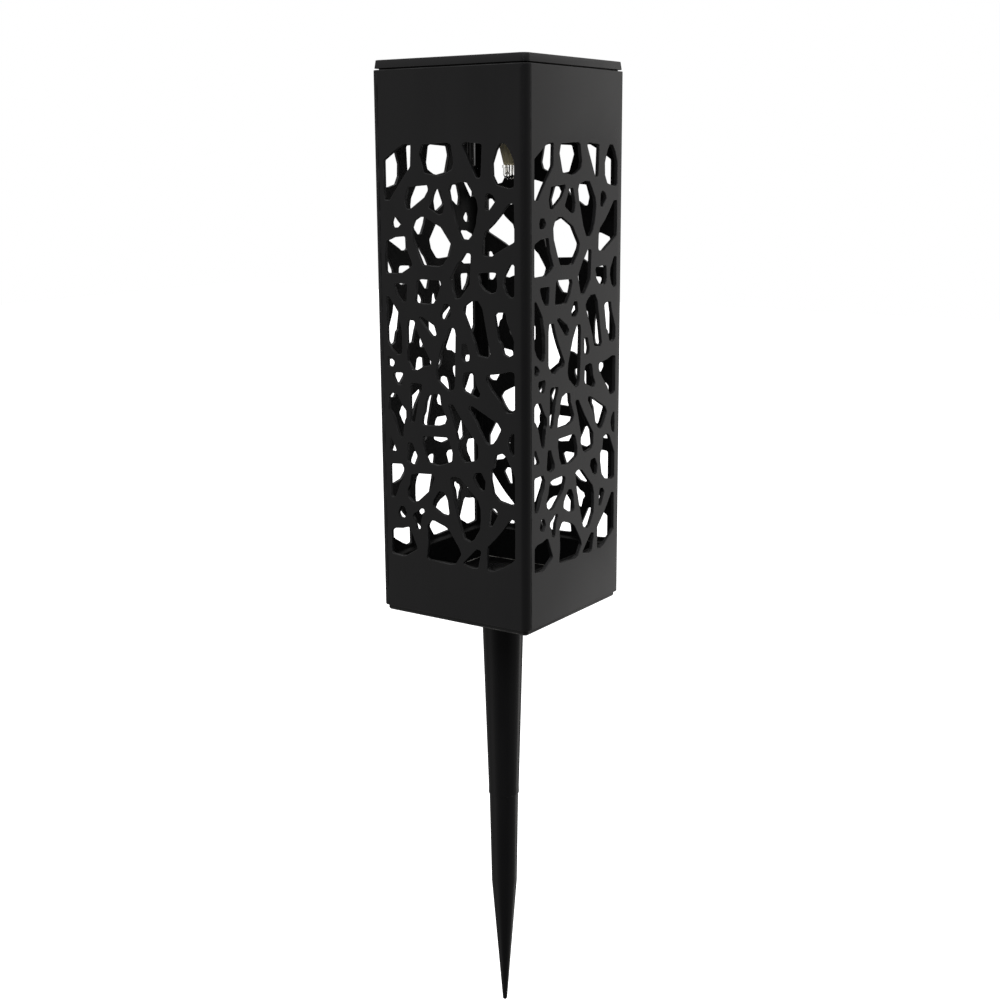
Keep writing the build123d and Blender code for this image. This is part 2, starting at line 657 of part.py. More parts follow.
def make_spring():
    """The conical spring on the negative contact."""
    base = -bay_length / 2 + contact_thickness
    end = bay_length / 2 - contact_thickness - contact_gap - battery_length - contact_gap
    height = end - base - spring_wire
    slope = math.degrees(math.atan2(spring_large_radius - spring_small_radius, height))
    path = Helix(height / spring_turns, height, spring_large_radius, cone_angle=-slope)
    section = Plane(origin=path @ 0, z_dir=path % 0) * Circle(spring_wire / 2)
    coil = sweep(section, path)
    return Pos(base + spring_wire / 2, bay_y, battery_axis()) * Rot(0, 90, 0) * coil


def make_board():
    """The driver board on its two posts."""
    low = floor_top + board_lift
    board = Pos(0, board_y, 0) * prism(board_length, board_width, low, low + board_thickness, board_corner)
    for x, y in board_posts():
        board -= rod(x, y, low, low + board_thickness, screw_bore)
    return board


def make_board_screws():
    """Two screws that hold the board down."""
    low = floor_top + board_lift + board_thickness
    head = board_screw_head / 2
    shank = screw_diameter / 2
    end = floor_top + screw_end_room
    top = low + board_screw_head_height
    bevel = board_screw_head_height / 3
    screw = turned([(0, end), (shank, end), (shank, low), (head, low), (head, top - bevel),
                    (head - bevel, top), (0, top)])
    return Compound([Pos(x, y, 0) * screw for x, y in board_posts()])


def on_board(x, y, length, width, height):
    """A component standing on the board."""
    low = floor_top + board_lift + board_thickness
    return block(x - length / 2, x + length / 2, y - width / 2, y + width / 2, low, low + height)


def make_driver_chip():
    """The four-legged driver."""
    chip = on_board(chip_x, component_y, chip_length, chip_width, chip_height)
    leg_y = component_y - chip_width / 2 - leg_length / 3
    for leg in range(4):
        x = chip_x + (leg - 1.5) * leg_pitch
        chip += on_board(x, leg_y, leg_width, leg_length, leg_height)
    return chip


def make_inductor():
    """The small wound inductor."""
    low = floor_top + board_lift + board_thickness
    top = low + inductor_height
    coil = rod(inductor_x, component_y, low, top, inductor_diameter - 2 * inductor_flange)
    for z in (low, top - inductor_flange):
        coil += rod(inductor_x, component_y, z, z + inductor_flange, inductor_diameter)
    return coil


def make_switch_body():
    """The slide switch's case, open on top and below for its lever."""
    x0 = switch_x - switch_length / 2
    x1 = switch_x + switch_length / 2
    y0 = switch_y - switch_width / 2
    y1 = switch_y + switch_width / 2
    case = block(x0, x1, y0, y1, floor_top, floor_top + switch_height)
    case -= block(x0 + switch_wall, x1 - switch_wall, y0 + switch_wall, y1 - switch_wall,
                  floor_top, floor_top + switch_height - switch_wall)
    return case


def make_switch_lever():
    """The lever at its off end, reaching down through the housing floor."""
    x = switch_x - switch_travel / 2
    width = lever_width / 2
    top = floor_top + switch_height - switch_wall - fit_clearance
    stem = block(x - lever_length / 2, x + lever_length / 2, switch_y - width, switch_y + width,
                 housing_bottom - lever_reach, top)
    stem = fillet(stem.edges().group_by(Axis.Z)[0], lever_width / 4)
    shoulder = switch_width / 2 - switch_wall - fit_clearance
    return stem + block(x - lever_length / 2, x + lever_length / 2, switch_y - shoulder, switch_y + shoulder,
                        floor_top + fit_clearance, top)


def make_sleeve():
    """The tapered lamp holder under the housing."""
    top = housing_bottom
    end = housing_bottom - sleeve_length
    wide = sleeve_top_diameter / 2
    thin = sleeve_end_diameter / 2
    spigot = sleeve_spigot_diameter / 2
    bore = sleeve_bore / 2
    sleeve = turned([(bore, end), (thin, end), (wide, top), (spigot, top),
                     (spigot, floor_top + sleeve_spigot_proud), (bore, floor_top + sleeve_spigot_proud)])
    return Pos(lamp_x, lamp_y, 0) * sleeve


def make_led():
    """The clear lamp, dome down, under the sleeve's end."""
    top = housing_bottom - sleeve_length
    flange = led_flange_diameter / 2
    radius = led_diameter / 2
    dome_centre = top - led_length + radius
    shank = Polyline((0, 0, dome_centre - radius), (0, 0, top), (flange, 0, top),
                     (flange, 0, top - led_flange_height), (radius, 0, top - led_flange_height),
                     (radius, 0, dome_centre))
    slant = radius * math.sqrt(0.5)
    lowest = dome_centre - radius
    dome = ThreePointArc((radius, 0, dome_centre), (slant, 0, dome_centre - slant), (0, 0, lowest))
    return Pos(lamp_x, lamp_y, 0) * revolve(make_face(shank + dome), Axis.Z)


def lead(points, bend):
    """One round lead along straight runs joined by arcs."""
    path = FilletPolyline(*points, radius=bend)
    section = Plane(origin=path @ 0, z_dir=path % 0) * Circle(lead_diameter / 2)
    return sweep(section, path)


def make_led_leads():
    """Two leads from the lamp, up the sleeve's bore and over to the board."""
    board_top = floor_top + board_lift + board_thickness
    low = housing_bottom - sleeve_length
    rise = board_top + led_lead_rise
    leads = []
    for shift in (-led_lead_spacing / 2, led_lead_spacing / 2):
        x = lamp_x + shift
        y = board_y + board_width / 2 - 2 * lead_diameter
        leads.append(lead([(x, lamp_y, low), (x, lamp_y, rise), (x, y, rise), (x, y, board_top)], lead_bend))
    return Compound(leads)


def make_solar_leads():
    """Two leads from the cell, down through the lid to the board."""
    board_top = floor_top + board_lift + board_thickness
    cell_under = lid_top - cover_thickness - cell_thickness
    leads = [rod(x, board_y, board_top, cell_under, lead_diameter) for x in (-lead_pitch, lead_pitch)]
    return Compound(leads)


def make_battery_leads():
    """Two leads from the contacts' tails, over the bay and down to the board."""
    board_top = floor_top + board_lift + board_thickness
    tail = floor_top + bay_height + contact_thickness
    rise = tail + battery_lead_rise
    leads = []
    for sign in (-1, 1):
        x = sign * (bay_length / 2 + bay_wall / 4)
        x_in = sign * (board_length / 2 - 2 * lead_diameter)
        y = board_y + board_width / 2 - 4 * lead_diameter
        y_mid = bay_y - bay_width / 2 - 4 * lead_diameter
        points = [(x, bay_y, tail), (x, bay_y, rise), (x, y_mid, rise), (x_in, y, rise), (x_in, y, board_top)]
        leads.append(lead(points, lead_bend))
    return Compound(leads)


os.makedirs("parts", exist_ok=True)

panel = make_panel()
for turn, name in enumerate(("panel_front", "panel_right", "panel_back", "panel_left")):
    save(name, Rot(0, 0, 90 * turn) * panel)

save("base_plate", make_base_plate())
save("base_tray", make_base_tray())
base_screw = make_base_screw()
save("base_screws", Compound([Pos(x, y, 0) * base_screw for x, y in corners(base_screw_spacing / 2)]))
save("top_frame", make_top_frame())
save("stake_tube", make_stake_tube())
save("stake_point", make_stake_point())

save("cap_lid", make_lid())
save("solar_cell", make_solar_cell())
save("solar_cover", make_solar_cover())
save("sealing_gasket", make_gasket())
save("cap_housing", make_housing())
housing_screw = make_housing_screw()
save("housing_screws", Compound([Pos(x, y, 0) * housing_screw for x, y in corners(pillar_place)]))

save("battery_door", make_door())
save("door_screw", make_door_screw())
save("battery_cell", make_battery())
save("negative_contact", make_contact(-1))
save("positive_contact", make_contact(1))
save("battery_spring", make_spring())

save("circuit_board", make_board())
save("board_screws", make_board_screws())
save("driver_chip", make_driver_chip())
save("inductor", make_inductor())
save("switch_body", make_switch_body())
save("switch_lever", make_switch_lever())
save("lamp_sleeve", make_sleeve())
save("led_lamp", make_led())
save("led_leads", make_led_leads())
save("solar_leads", make_solar_leads())
save("battery_leads", make_battery_leads())
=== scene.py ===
# Solar garden lantern on a ground stake: square pierced body, lift-off solar cap, two-piece stake.
# Metres, +Z up, origin at the centre of the base's underside, front panel towards -Y.
import bpy
import bmesh
import math
from mathutils import Matrix, Vector


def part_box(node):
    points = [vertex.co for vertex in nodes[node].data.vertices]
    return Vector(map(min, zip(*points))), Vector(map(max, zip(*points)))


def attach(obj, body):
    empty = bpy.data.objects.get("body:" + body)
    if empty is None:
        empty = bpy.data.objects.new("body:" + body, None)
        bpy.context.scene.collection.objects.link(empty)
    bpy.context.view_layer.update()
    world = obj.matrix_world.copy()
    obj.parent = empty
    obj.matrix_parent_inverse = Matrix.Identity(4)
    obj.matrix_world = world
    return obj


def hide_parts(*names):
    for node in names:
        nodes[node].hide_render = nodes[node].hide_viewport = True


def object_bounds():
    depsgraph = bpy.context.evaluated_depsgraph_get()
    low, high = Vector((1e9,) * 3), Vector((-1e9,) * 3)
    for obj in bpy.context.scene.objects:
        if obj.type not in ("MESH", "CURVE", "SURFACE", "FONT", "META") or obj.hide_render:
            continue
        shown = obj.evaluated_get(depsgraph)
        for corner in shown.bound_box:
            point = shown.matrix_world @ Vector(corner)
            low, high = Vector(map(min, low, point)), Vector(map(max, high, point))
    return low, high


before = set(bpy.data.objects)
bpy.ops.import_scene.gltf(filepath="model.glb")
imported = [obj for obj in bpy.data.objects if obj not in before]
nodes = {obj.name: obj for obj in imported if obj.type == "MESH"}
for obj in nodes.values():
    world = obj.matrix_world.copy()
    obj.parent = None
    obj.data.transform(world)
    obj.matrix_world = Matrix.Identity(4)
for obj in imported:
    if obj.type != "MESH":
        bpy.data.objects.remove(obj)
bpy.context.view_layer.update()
mm = 0.001
print("frame loaded:", len(nodes), "nodes")


# small helpers for node trees

def setSocket(node, key, value):
    node.inputs[key].default_value = value


def addNode(tree, kind, place=(0, 0), settings=None, inputs=None):
    node = tree.nodes.new(kind)
    node.location = place
    for key, value in (settings or {}).items():
        setattr(node, key, value)
    for key, value in (inputs or {}).items():
        setSocket(node, key, value)
    return node


def groupSocket(tree, name, kind, isInput=True, value=None):
    socket = tree.interface.new_socket(name=name, in_out="INPUT" if isInput else "OUTPUT", socket_type=kind)
    if value is not None:
        socket.default_value = value
    return socket


def wire(tree, *wires):
    # each wire: a node, its output, the next node, its input
    for source, output, target, entry in wires:
        tree.links.new(source.outputs[output], target.inputs[entry])


def feed(tree, node, *values):
    # fills a node's first inputs, each with a number or with another node's output
    for entry, value in zip(node.inputs, values):
        if isinstance(value, (int, float)):
            entry.default_value = value
        else:
            tree.links.new(value, entry)
    return node.outputs[0]


def newShaderGroup(name, given, made):
    tree = bpy.data.node_groups.new(name, "ShaderNodeTree")
    for label, value in given.items():
        groupSocket(tree, label, "NodeSocketFloat", value=value)
    for label in made:
        groupSocket(tree, label, "NodeSocketFloat", isInput=False)
    return tree, addNode(tree, "NodeGroupInput", (-900, 0)), addNode(tree, "NodeGroupOutput", (700, 0))


def newGeometryTree(name, sizes):
    # the kind of each named input follows from its first value
    kinds = {float: "NodeSocketFloat", int: "NodeSocketInt", tuple: "NodeSocketVector"}
    tree = bpy.data.node_groups.new(name, "GeometryNodeTree")
    groupSocket(tree, "Geometry", "NodeSocketGeometry")
    for label, value in sizes.items():
        groupSocket(tree, label, kinds[type(value)], value=value)
    groupSocket(tree, "Finish", "NodeSocketMaterial")
    groupSocket(tree, "Geometry", "NodeSocketGeometry", isInput=False)
    return tree, addNode(tree, "NodeGroupInput", (-1400, 0))


def endTree(tree, inside, last):
    # real geometry, with its finish on it
    solid = addNode(tree, "GeometryNodeRealizeInstances", (1100, 0))
    paint = addNode(tree, "GeometryNodeSetMaterial", (1300, 0))
    out = addNode(tree, "NodeGroupOutput", (1600, 0))
    wire(tree, (last, 0, solid, 0), (solid, 0, paint, "Geometry"), (inside, "Finish", paint, "Material"),
         (paint, 0, out, 0))
    return tree


# shared material effects

def makeGrainGroup():
    # moulded plastic skin: fine spark-eroded grain, slow mottling from the flow of the plastic
    tree, inside, out = newShaderGroup("mouldGrain", {"Grain Size": 0.35, "Flow Size": 14.0},
                                       ("Height", "Mottle"))
    place = addNode(tree, "ShaderNodeTexCoord", (-900, 300))
    grainScale = addNode(tree, "ShaderNodeMath", (-700, 100), {"operation": "DIVIDE"}, {0: 1000.0})
    flowScale = addNode(tree, "ShaderNodeMath", (-700, -100), {"operation": "DIVIDE"}, {0: 1000.0})
    fine = addNode(tree, "ShaderNodeTexNoise", (-400, 200), inputs={"Detail": 3.0, "Roughness": 0.65})
    cells = addNode(tree, "ShaderNodeTexVoronoi", (-400, -50), {"feature": "SMOOTH_F1"},
                    {"Smoothness": 0.6})
    drawn = addNode(tree, "ShaderNodeMapping", (-650, -350), inputs={"Scale": (1.0, 1.0, 0.22)})
    slow = addNode(tree, "ShaderNodeTexNoise", (-400, -350), inputs={"Detail": 4.0, "Roughness": 0.5})
    mixHeight = addNode(tree, "ShaderNodeMath", (0, 100), {"operation": "MULTIPLY_ADD"}, {1: 0.5})
    link = tree.links.new
    wire(tree, (inside, "Grain Size", grainScale, 1), (inside, "Flow Size", flowScale, 1))
    for texture, scale in ((fine, grainScale), (cells, grainScale), (slow, flowScale)):
        link(place.outputs["Object"] if texture is not slow else drawn.outputs[0], texture.inputs["Vector"])
        link(scale.outputs[0], texture.inputs["Scale"])
    wire(tree, (place, "Object", drawn, "Vector"), (cells, "Distance", mixHeight, 0),
         (fine, "Fac", mixHeight, 2), (mixHeight, 0, out, "Height"), (slow, "Fac", out, "Mottle"))
    return tree


def makeEdgeGroup():
    # rubbed edges with a painted highlight: the marked edge faces, broken up by noise, where the paler edge
    # colour stands for wear and for light caught on the edges
    tree, inside, out = newShaderGroup("rubbedEdgeAndHighlight", {"Amount": 1.0}, ("Edge",))
    marked = addNode(tree, "ShaderNodeAttribute", (-450, 250), {"attribute_name": "rub"})
    place = addNode(tree, "ShaderNodeTexCoord", (-700, -250))
    breakUp = addNode(tree, "ShaderNodeTexNoise", (-450, -250), inputs={"Scale": 180.0, "Detail": 4.0})
    ramp = addNode(tree, "ShaderNodeMapRange", (-200, -100), inputs={1: 0.38, 2: 0.66})
    blend = addNode(tree, "ShaderNodeMath", (0, 0), {"operation": "MULTIPLY"})
    scaled = addNode(tree, "ShaderNodeMath", (250, 0), {"operation": "MULTIPLY"})
    wire(tree, (place, "Object", breakUp, "Vector"), (breakUp, "Fac", ramp, 0), (ramp, 0, blend, 0),
         (marked, "Fac", blend, 1), (blend, 0, scaled, 0), (inside, "Amount", scaled, 1),
         (scaled, 0, out, "Edge"))
    return tree


def makeDustGroup():
    # pale dust that settles on upward faces
    tree, inside, out = newShaderGroup("settledDust", {"Amount": 0.3}, ("Dust",))
    shape = addNode(tree, "ShaderNodeNewGeometry", (-700, 250))
    split = addNode(tree, "ShaderNodeSeparateXYZ", (-500, 250))
    place = addNode(tree, "ShaderNodeTexCoord", (-700, -250))
    cloud = addNode(tree, "ShaderNodeTexNoise", (-450, -250),
                    inputs={"Scale": 70.0, "Detail": 6.0, "Roughness": 0.7})
    up = addNode(tree, "ShaderNodeMapRange", (-200, 200), inputs={1: 0.5, 2: 1.0})
    patches = addNode(tree, "ShaderNodeMapRange", (-200, -200), inputs={1: 0.42, 2: 0.75})
    both = addNode(tree, "ShaderNodeMath", (100, 0), {"operation": "MULTIPLY"})
    scaled = addNode(tree, "ShaderNodeMath", (350, 0), {"operation": "MULTIPLY"})
    wire(tree, (shape, "Normal", split, 0), (split, "Z", up, 0), (place, "Object", cloud, "Vector"),
         (cloud, "Fac", patches, 0), (up, 0, both, 0), (patches, 0, both, 1), (both, 0, scaled, 0),
         (inside, "Amount", scaled, 1), (scaled, 0, out, "Dust"))
    return tree


grainGroup = makeGrainGroup()
edgeGroup = makeEdgeGroup()
dustGroup = makeDustGroup()


depths = {"plastic": 0.04 * mm, "metal": 0.03 * mm, "clear": 0.1 * mm}  # of the bumps


def newMaterial(name):
    material = bpy.data.materials.new(name)
    material.use_nodes = True
    tree = material.node_tree
    tree.nodes.clear()
    shader = addNode(tree, "ShaderNodeBsdfPrincipled", (700, 0))
    out = addNode(tree, "ShaderNodeOutputMaterial", (1000, 0))
    tree.links.new(shader.outputs[0], out.inputs["Surface"])
    return material, tree, shader


def mixColor(tree, first, second, place=(0, 0)):
    node = addNode(tree, "ShaderNodeMix", place, {"data_type": "RGBA"})
    node.inputs[6].default_value = (*first, 1)
    node.inputs[7].default_value = (*second, 1)
    return node


def plasticMaterial(name, look):
    # moulded plastic: look holds its two tones, gloss, grain, edges (wear with a painted highlight) and dust
    material, tree, shader = newMaterial(name)
    grain = addNode(tree, "ShaderNodeGroup", (-500, 0), {"node_tree": grainGroup})
    setSocket(grain, "Grain Size", look["grainSize"])
    setSocket(grain, "Flow Size", look.get("flowSize", 14.0))
    edge = addNode(tree, "ShaderNodeGroup", (-500, 250), {"node_tree": edgeGroup})
    dust = addNode(tree, "ShaderNodeGroup", (-500, 450), {"node_tree": dustGroup})
    setSocket(dust, "Amount", look.get("dust", 0.0))
    tone = mixColor(tree, look["dark"], look["light"], (-200, 100))
    # the edge colour on the marked faces: wear plus a painted highlight
    rubbedAndHighlit = mixColor(tree, look["dark"], look.get("edge", look["light"]), (50, 200))
    dusty = mixColor(tree, look["dark"], look.get("dustColor", (0.35, 0.33, 0.3)), (300, 300))
    wire(tree, (grain, "Mottle", tone, 0), (tone, 2, rubbedAndHighlit, 6), (edge, "Edge", rubbedAndHighlit, 0),
         (rubbedAndHighlit, 2, dusty, 6), (dust, "Dust", dusty, 0), (dusty, 2, shader, "Base Color"))
    gloss = addNode(tree, "ShaderNodeMapRange", (0, -100), inputs={1: 0.3, 2: 0.7})
    gloss.inputs[3].default_value, gloss.inputs[4].default_value = look["roughness"]
    addDust = addNode(tree, "ShaderNodeMath", (300, -100), {"operation": "ADD", "use_clamp": True})
    wire(tree, (grain, "Mottle", gloss, 0), (gloss, 0, addDust, 0), (dust, "Dust", addDust, 1),
         (addDust, 0, shader, "Roughness"))
    bump = addNode(tree, "ShaderNodeBump", (300, -350))
    setSocket(bump, "Strength", look["bump"])
    setSocket(bump, "Distance", depths["plastic"])
    wire(tree, (grain, "Height", bump, "Height"), (bump, 0, shader, "Normal"))
    setSocket(shader, "IOR", look.get("ior", 1.45))
    setSocket(shader, "Specular IOR Level", look.get("specular", 0.5))
    if "coat" in look:
        setSocket(shader, "Coat Weight", look["coat"])
        setSocket(shader, "Coat Roughness", look.get("coatRoughness", 0.1))
    return material


def metalMaterial(name, look):
    # brushed or plated metal, with fine turning marks along one axis
    material, tree, shader = newMaterial(name)
    place = addNode(tree, "ShaderNodeTexCoord", (-900, 0))
    stretch = addNode(tree, "ShaderNodeMapping", (-700, 0), inputs={"Scale": look["brush"]})
    lines = addNode(tree, "ShaderNodeTexNoise", (-450, 0), inputs={"Scale": 1.0, "Detail": 4.0})
    stain = addNode(tree, "ShaderNodeTexNoise", (-450, -300), inputs={"Scale": 220.0, "Detail": 3.0})
    tone = mixColor(tree, look["dark"], look["light"], (-100, 100))
    gloss = addNode(tree, "ShaderNodeMapRange", (-100, -200),
                    inputs={3: look["roughness"][0], 4: look["roughness"][1]})
    bump = addNode(tree, "ShaderNodeBump", (200, -350),
                   inputs={"Strength": 0.15, "Distance": depths["metal"]})
    wire(tree, (place, "Object", stretch, "Vector"), (stretch, 0, lines, "Vector"),
         (place, "Object", stain, "Vector"), (stain, "Fac", tone, 0), (tone, 2, shader, "Base Color"),
         (lines, "Fac", gloss, 0), (gloss, 0, shader, "Roughness"), (lines, "Fac", bump, "Height"),
         (bump, 0, shader, "Normal"))
    setSocket(shader, "Metallic", 1.0)
    return material


# the edge colours go on the marked rounded edges: the body's faint one is wear with a slight painted
# highlight, the paler ones of foot and cap are painted highlights where the edges catch the light
looks = {
    "body": {"dark": (0.0045, 0.0045, 0.0048), "light": (0.0085, 0.0085, 0.009),
             "edge": (0.026, 0.026, 0.027), "roughness": (0.27, 0.31),
             "grainSize": 0.45, "bump": 0.10, "dust": 0.03, "specular": 0.5},
    "foot": {"dark": (0.004, 0.004, 0.0042), "light": (0.009, 0.009, 0.0095), "edge": (0.16, 0.157, 0.15),
             "roughness": (0.24, 0.34), "grainSize": 0.4, "bump": 0.08, "specular": 0.5},
    # tray: darker and duller than the body plastic, painted shade for the inside of the body; its pale edge
    # colour is a painted highlight on the ridge steps
    "tray": {"dark": (0.0025, 0.0025, 0.0026), "light": (0.0048, 0.0048, 0.005), "edge": (0.5, 0.49, 0.46),
             "roughness": (0.45, 0.55), "grainSize": 0.5, "bump": 0.12, "dust": 0.02, "specular": 0.12},
    # inside: a darker, duller copy of the body plastic for the panels' inner faces, painted shade
    "inside": {"dark": (0.0035, 0.0035, 0.0037), "light": (0.0065, 0.0065, 0.0068),
               "roughness": (0.42, 0.52), "grainSize": 0.6, "bump": 0.12, "specular": 0.2},
    "frame": {"dark": (0.004, 0.004, 0.0042), "light": (0.008, 0.008, 0.0084),
              "roughness": (0.38, 0.5), "grainSize": 0.5, "bump": 0.12, "specular": 0.3},
    "stake": {"dark": (0.004, 0.004, 0.0042), "light": (0.008, 0.008, 0.0084),
              "roughness": (0.2, 0.28), "grainSize": 0.5, "bump": 0.07, "flowSize": 9.0, "specular": 0.38},
    "cap": {"dark": (0.006, 0.006, 0.0064), "light": (0.011, 0.011, 0.0116), "edge": (0.17, 0.166, 0.16),
            "roughness": (0.24, 0.34), "grainSize": 0.4, "bump": 0.08, "dust": 0.12, "specular": 0.62},
    "housing": {"dark": (0.005, 0.005, 0.0052), "light": (0.01, 0.01, 0.0105),
                "roughness": (0.32, 0.45), "grainSize": 0.5, "bump": 0.12},
    "lever": {"dark": (0.004, 0.004, 0.004), "light": (0.008, 0.008, 0.008),
              "roughness": (0.1, 0.18), "grainSize": 0.6, "bump": 0.03, "coat": 0.4},
    "chip": {"dark": (0.01, 0.01, 0.01), "light": (0.02, 0.02, 0.02),
             "roughness": (0.5, 0.65), "grainSize": 0.25, "bump": 0.2},
    "board": {"dark": (0.008, 0.06, 0.022), "light": (0.012, 0.1, 0.04),
              "roughness": (0.25, 0.4), "grainSize": 0.8, "flowSize": 3.0, "bump": 0.05, "coat": 0.3},
    "rubber": {"dark": (0.012, 0.012, 0.012), "light": (0.022, 0.022, 0.022),
               "roughness": (0.6, 0.75), "grainSize": 0.4, "bump": 0.25},
    "lead": {"dark": (0.25, 0.012, 0.01), "light": (0.4, 0.02, 0.015),
             "roughness": (0.3, 0.45), "grainSize": 0.8, "bump": 0.05},
}
finishes = {name: plasticMaterial(name + "Plastic", look) for name, look in looks.items()}
finishes["screw"] = metalMaterial("zincScrew", {"dark": (0.42, 0.42, 0.41), "light": (0.6, 0.6, 0.58),
                                                "roughness": (0.22, 0.42), "brush": (900, 900, 4000)})
finishes["nickel"] = metalMaterial("nickelSpring", {"dark": (0.5, 0.48, 0.44), "light": (0.68, 0.66, 0.62),
                                                    "roughness": (0.15, 0.35), "brush": (300, 2000, 2000)})


def clearMaterial(name, look):
    # clear moulded plastic: a faint tint, fine scratches and flow lines
    material, tree, shader = newMaterial(name)
    grain = addNode(tree, "ShaderNodeGroup", (-400, 0), {"node_tree": grainGroup})
    setSocket(grain, "Grain Size", look["grainSize"])
    tone = mixColor(tree, look["dark"], look["light"], (0, 100))
    gloss = addNode(tree, "ShaderNodeMapRange", (0, -150))
    gloss.inputs[3].default_value, gloss.inputs[4].default_value = look["roughness"]
    bump = addNode(tree, "ShaderNodeBump", (300, -350),
                   inputs={"Strength": look["bump"], "Distance": depths["clear"]})
    wire(tree, (grain, "Mottle", tone, 0), (tone, 2, shader, "Base Color"), (grain, "Mottle", gloss, 0),
         (gloss, 0, shader, "Roughness"), (grain, "Height", bump, "Height"), (bump, 0, shader, "Normal"))
    setSocket(shader, "Transmission Weight", look["clear"])
    setSocket(shader, "IOR", look["ior"])
    return material


finishes["cover"] = clearMaterial("solarCover", {"dark": (0.9, 0.93, 0.93), "light": (0.97, 0.99, 0.99),
                                                 "roughness": (0.02, 0.06), "bump": 0.05, "clear": 1.0,
                                                 "ior": 1.46, "grainSize": 3.0})
finishes["lens"] = clearMaterial("lampLens", {"dark": (0.93, 0.92, 0.88), "light": (1.0, 1.0, 0.98),
                                              "roughness": (0.01, 0.04), "bump": 0.3, "clear": 1.0,
                                              "ior": 1.5, "grainSize": 2.2})
finishes["sleeve"] = clearMaterial("lampSleeve", {"dark": (0.66, 0.58, 0.36), "light": (0.84, 0.76, 0.5),
                                                  "roughness": (0.3, 0.45), "bump": 0.2, "clear": 0.12,
                                                  "ior": 1.46, "grainSize": 1.2})


siliconLook = {"dark": (0.004, 0.006, 0.022), "light": (0.012, 0.02, 0.065), "roughness": (0.12, 0.3),
               "grains": 260.0}
wrapLook = {"dark": (0.03, 0.16, 0.06), "light": (0.05, 0.24, 0.1), "metal": (0.6, 0.58, 0.55),
            "roughness": (0.22, 0.38)}


def siliconMaterial(look):
    # solar cell: blue-black crystal grains under a glossy skin
    material, tree, shader = newMaterial("siliconCell")
    place = addNode(tree, "ShaderNodeTexCoord", (-700, 0))
    grains = addNode(tree, "ShaderNodeTexVoronoi", (-500, 0), inputs={"Scale": look["grains"]})
    tone = mixColor(tree, look["dark"], look["light"], (-100, 100))
    split = addNode(tree, "ShaderNodeSeparateColor", (-300, 100))
    gloss = addNode(tree, "ShaderNodeMapRange", (-100, -200))
    gloss.inputs[3].default_value, gloss.inputs[4].default_value = look["roughness"]
    wire(tree, (place, "Object", grains, "Vector"), (grains, "Color", split, 0), (split, 0, tone, 0),
         (tone, 2, shader, "Base Color"), (split, 1, gloss, 0), (gloss, 0, shader, "Roughness"))
    return material


def batteryMaterial(look, ends):
    # cell: green shrink sleeve with bare metal at both ends, told apart along X
    material, tree, shader = newMaterial("cellWrap")
    place = addNode(tree, "ShaderNodeTexCoord", (-900, 0))
    split = addNode(tree, "ShaderNodeSeparateXYZ", (-700, 0))
    past = addNode(tree, "ShaderNodeMath", (-450, 100), {"operation": "GREATER_THAN"}, {1: ends[1]})
    before = addNode(tree, "ShaderNodeMath", (-450, -100), {"operation": "LESS_THAN"}, {1: ends[0]})
    either = addNode(tree, "ShaderNodeMath", (-200, 0), {"operation": "ADD"})
    grain = addNode(tree, "ShaderNodeGroup", (-450, -350), {"node_tree": grainGroup})
    wrap = mixColor(tree, look["dark"], look["light"], (-200, 250))
    tone = mixColor(tree, look["dark"], look["metal"], (100, 200))
    gloss = addNode(tree, "ShaderNodeMapRange", (100, -200))
    gloss.inputs[3].default_value, gloss.inputs[4].default_value = look["roughness"]
    wire(tree, (place, "Object", split, 0), (split, "X", past, 0), (split, "X", before, 0),
         (past, 0, either, 0), (before, 0, either, 1), (grain, "Mottle", wrap, 0), (wrap, 2, tone, 6),
         (either, 0, tone, 0), (tone, 2, shader, "Base Color"), (either, 0, shader, "Metallic"),
         (grain, "Mottle", gloss, 0), (gloss, 0, shader, "Roughness"))
    return material


finishes["silicon"] = siliconMaterial(siliconLook)
print("materials made:", len(finishes))


# mesh helpers

flatFace = 0.9999  # a face whose normal lies this near to an axis isn't smoothed
merging = 1e-6  # points nearer than this are one


def meshFrom(work, name):
    mesh = bpy.data.meshes.new(name)
    work.to_mesh(mesh)
    work.free()
    return mesh


def finishMesh(name, mesh, material, sharpAngle=25):
    mesh.materials.clear()
    mesh.materials.append(material)
    for face in mesh.polygons:
        face.use_smooth = max(abs(part) for part in face.normal) < flatFace
        face.material_index = 0
    mesh.set_sharp_from_angle(angle=math.radians(sharpAngle))
    piece = bpy.data.objects.new(name, mesh)
    bpy.context.scene.collection.objects.link(piece)
    return piece


def settle(piece, body, slot, *replaced):
    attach(piece, body)
    if replaced:
        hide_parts(*replaced)


def turnedMesh(name, profile, sides, center=(0, 0)):
    # a closed round mesh from (radius, height) points, from top to bottom
    work = bmesh.new()
    rings = []
    for radius, height in profile:
        if radius < merging:
            rings.append([work.verts.new((center[0], center[1], height))])
            continue
        ring = []
        for step in range(sides):
            angle = 2 * math.pi * step / sides
            ring.append(work.verts.new((center[0] + radius * math.cos(angle),
                                        center[1] + radius * math.sin(angle), height)))
        rings.append(ring)
    for upper, lower in zip(rings, rings[1:]):
        for step in range(sides):
            after = (step + 1) % sides
            corners = [upper[step % len(upper)], upper[after % len(upper)],
                       lower[after % len(lower)], lower[step % len(lower)]]
            corners = list(dict.fromkeys(corners))
            if len(corners) > 2:
                work.faces.new(corners)
    for ring, flip in ((rings[0], False), (rings[-1], True)):
        if len(ring) > 1:
            work.faces.new(ring[::-1] if flip else ring)
    bmesh.ops.recalc_face_normals(work, faces=work.faces)
    return meshFrom(work, name)


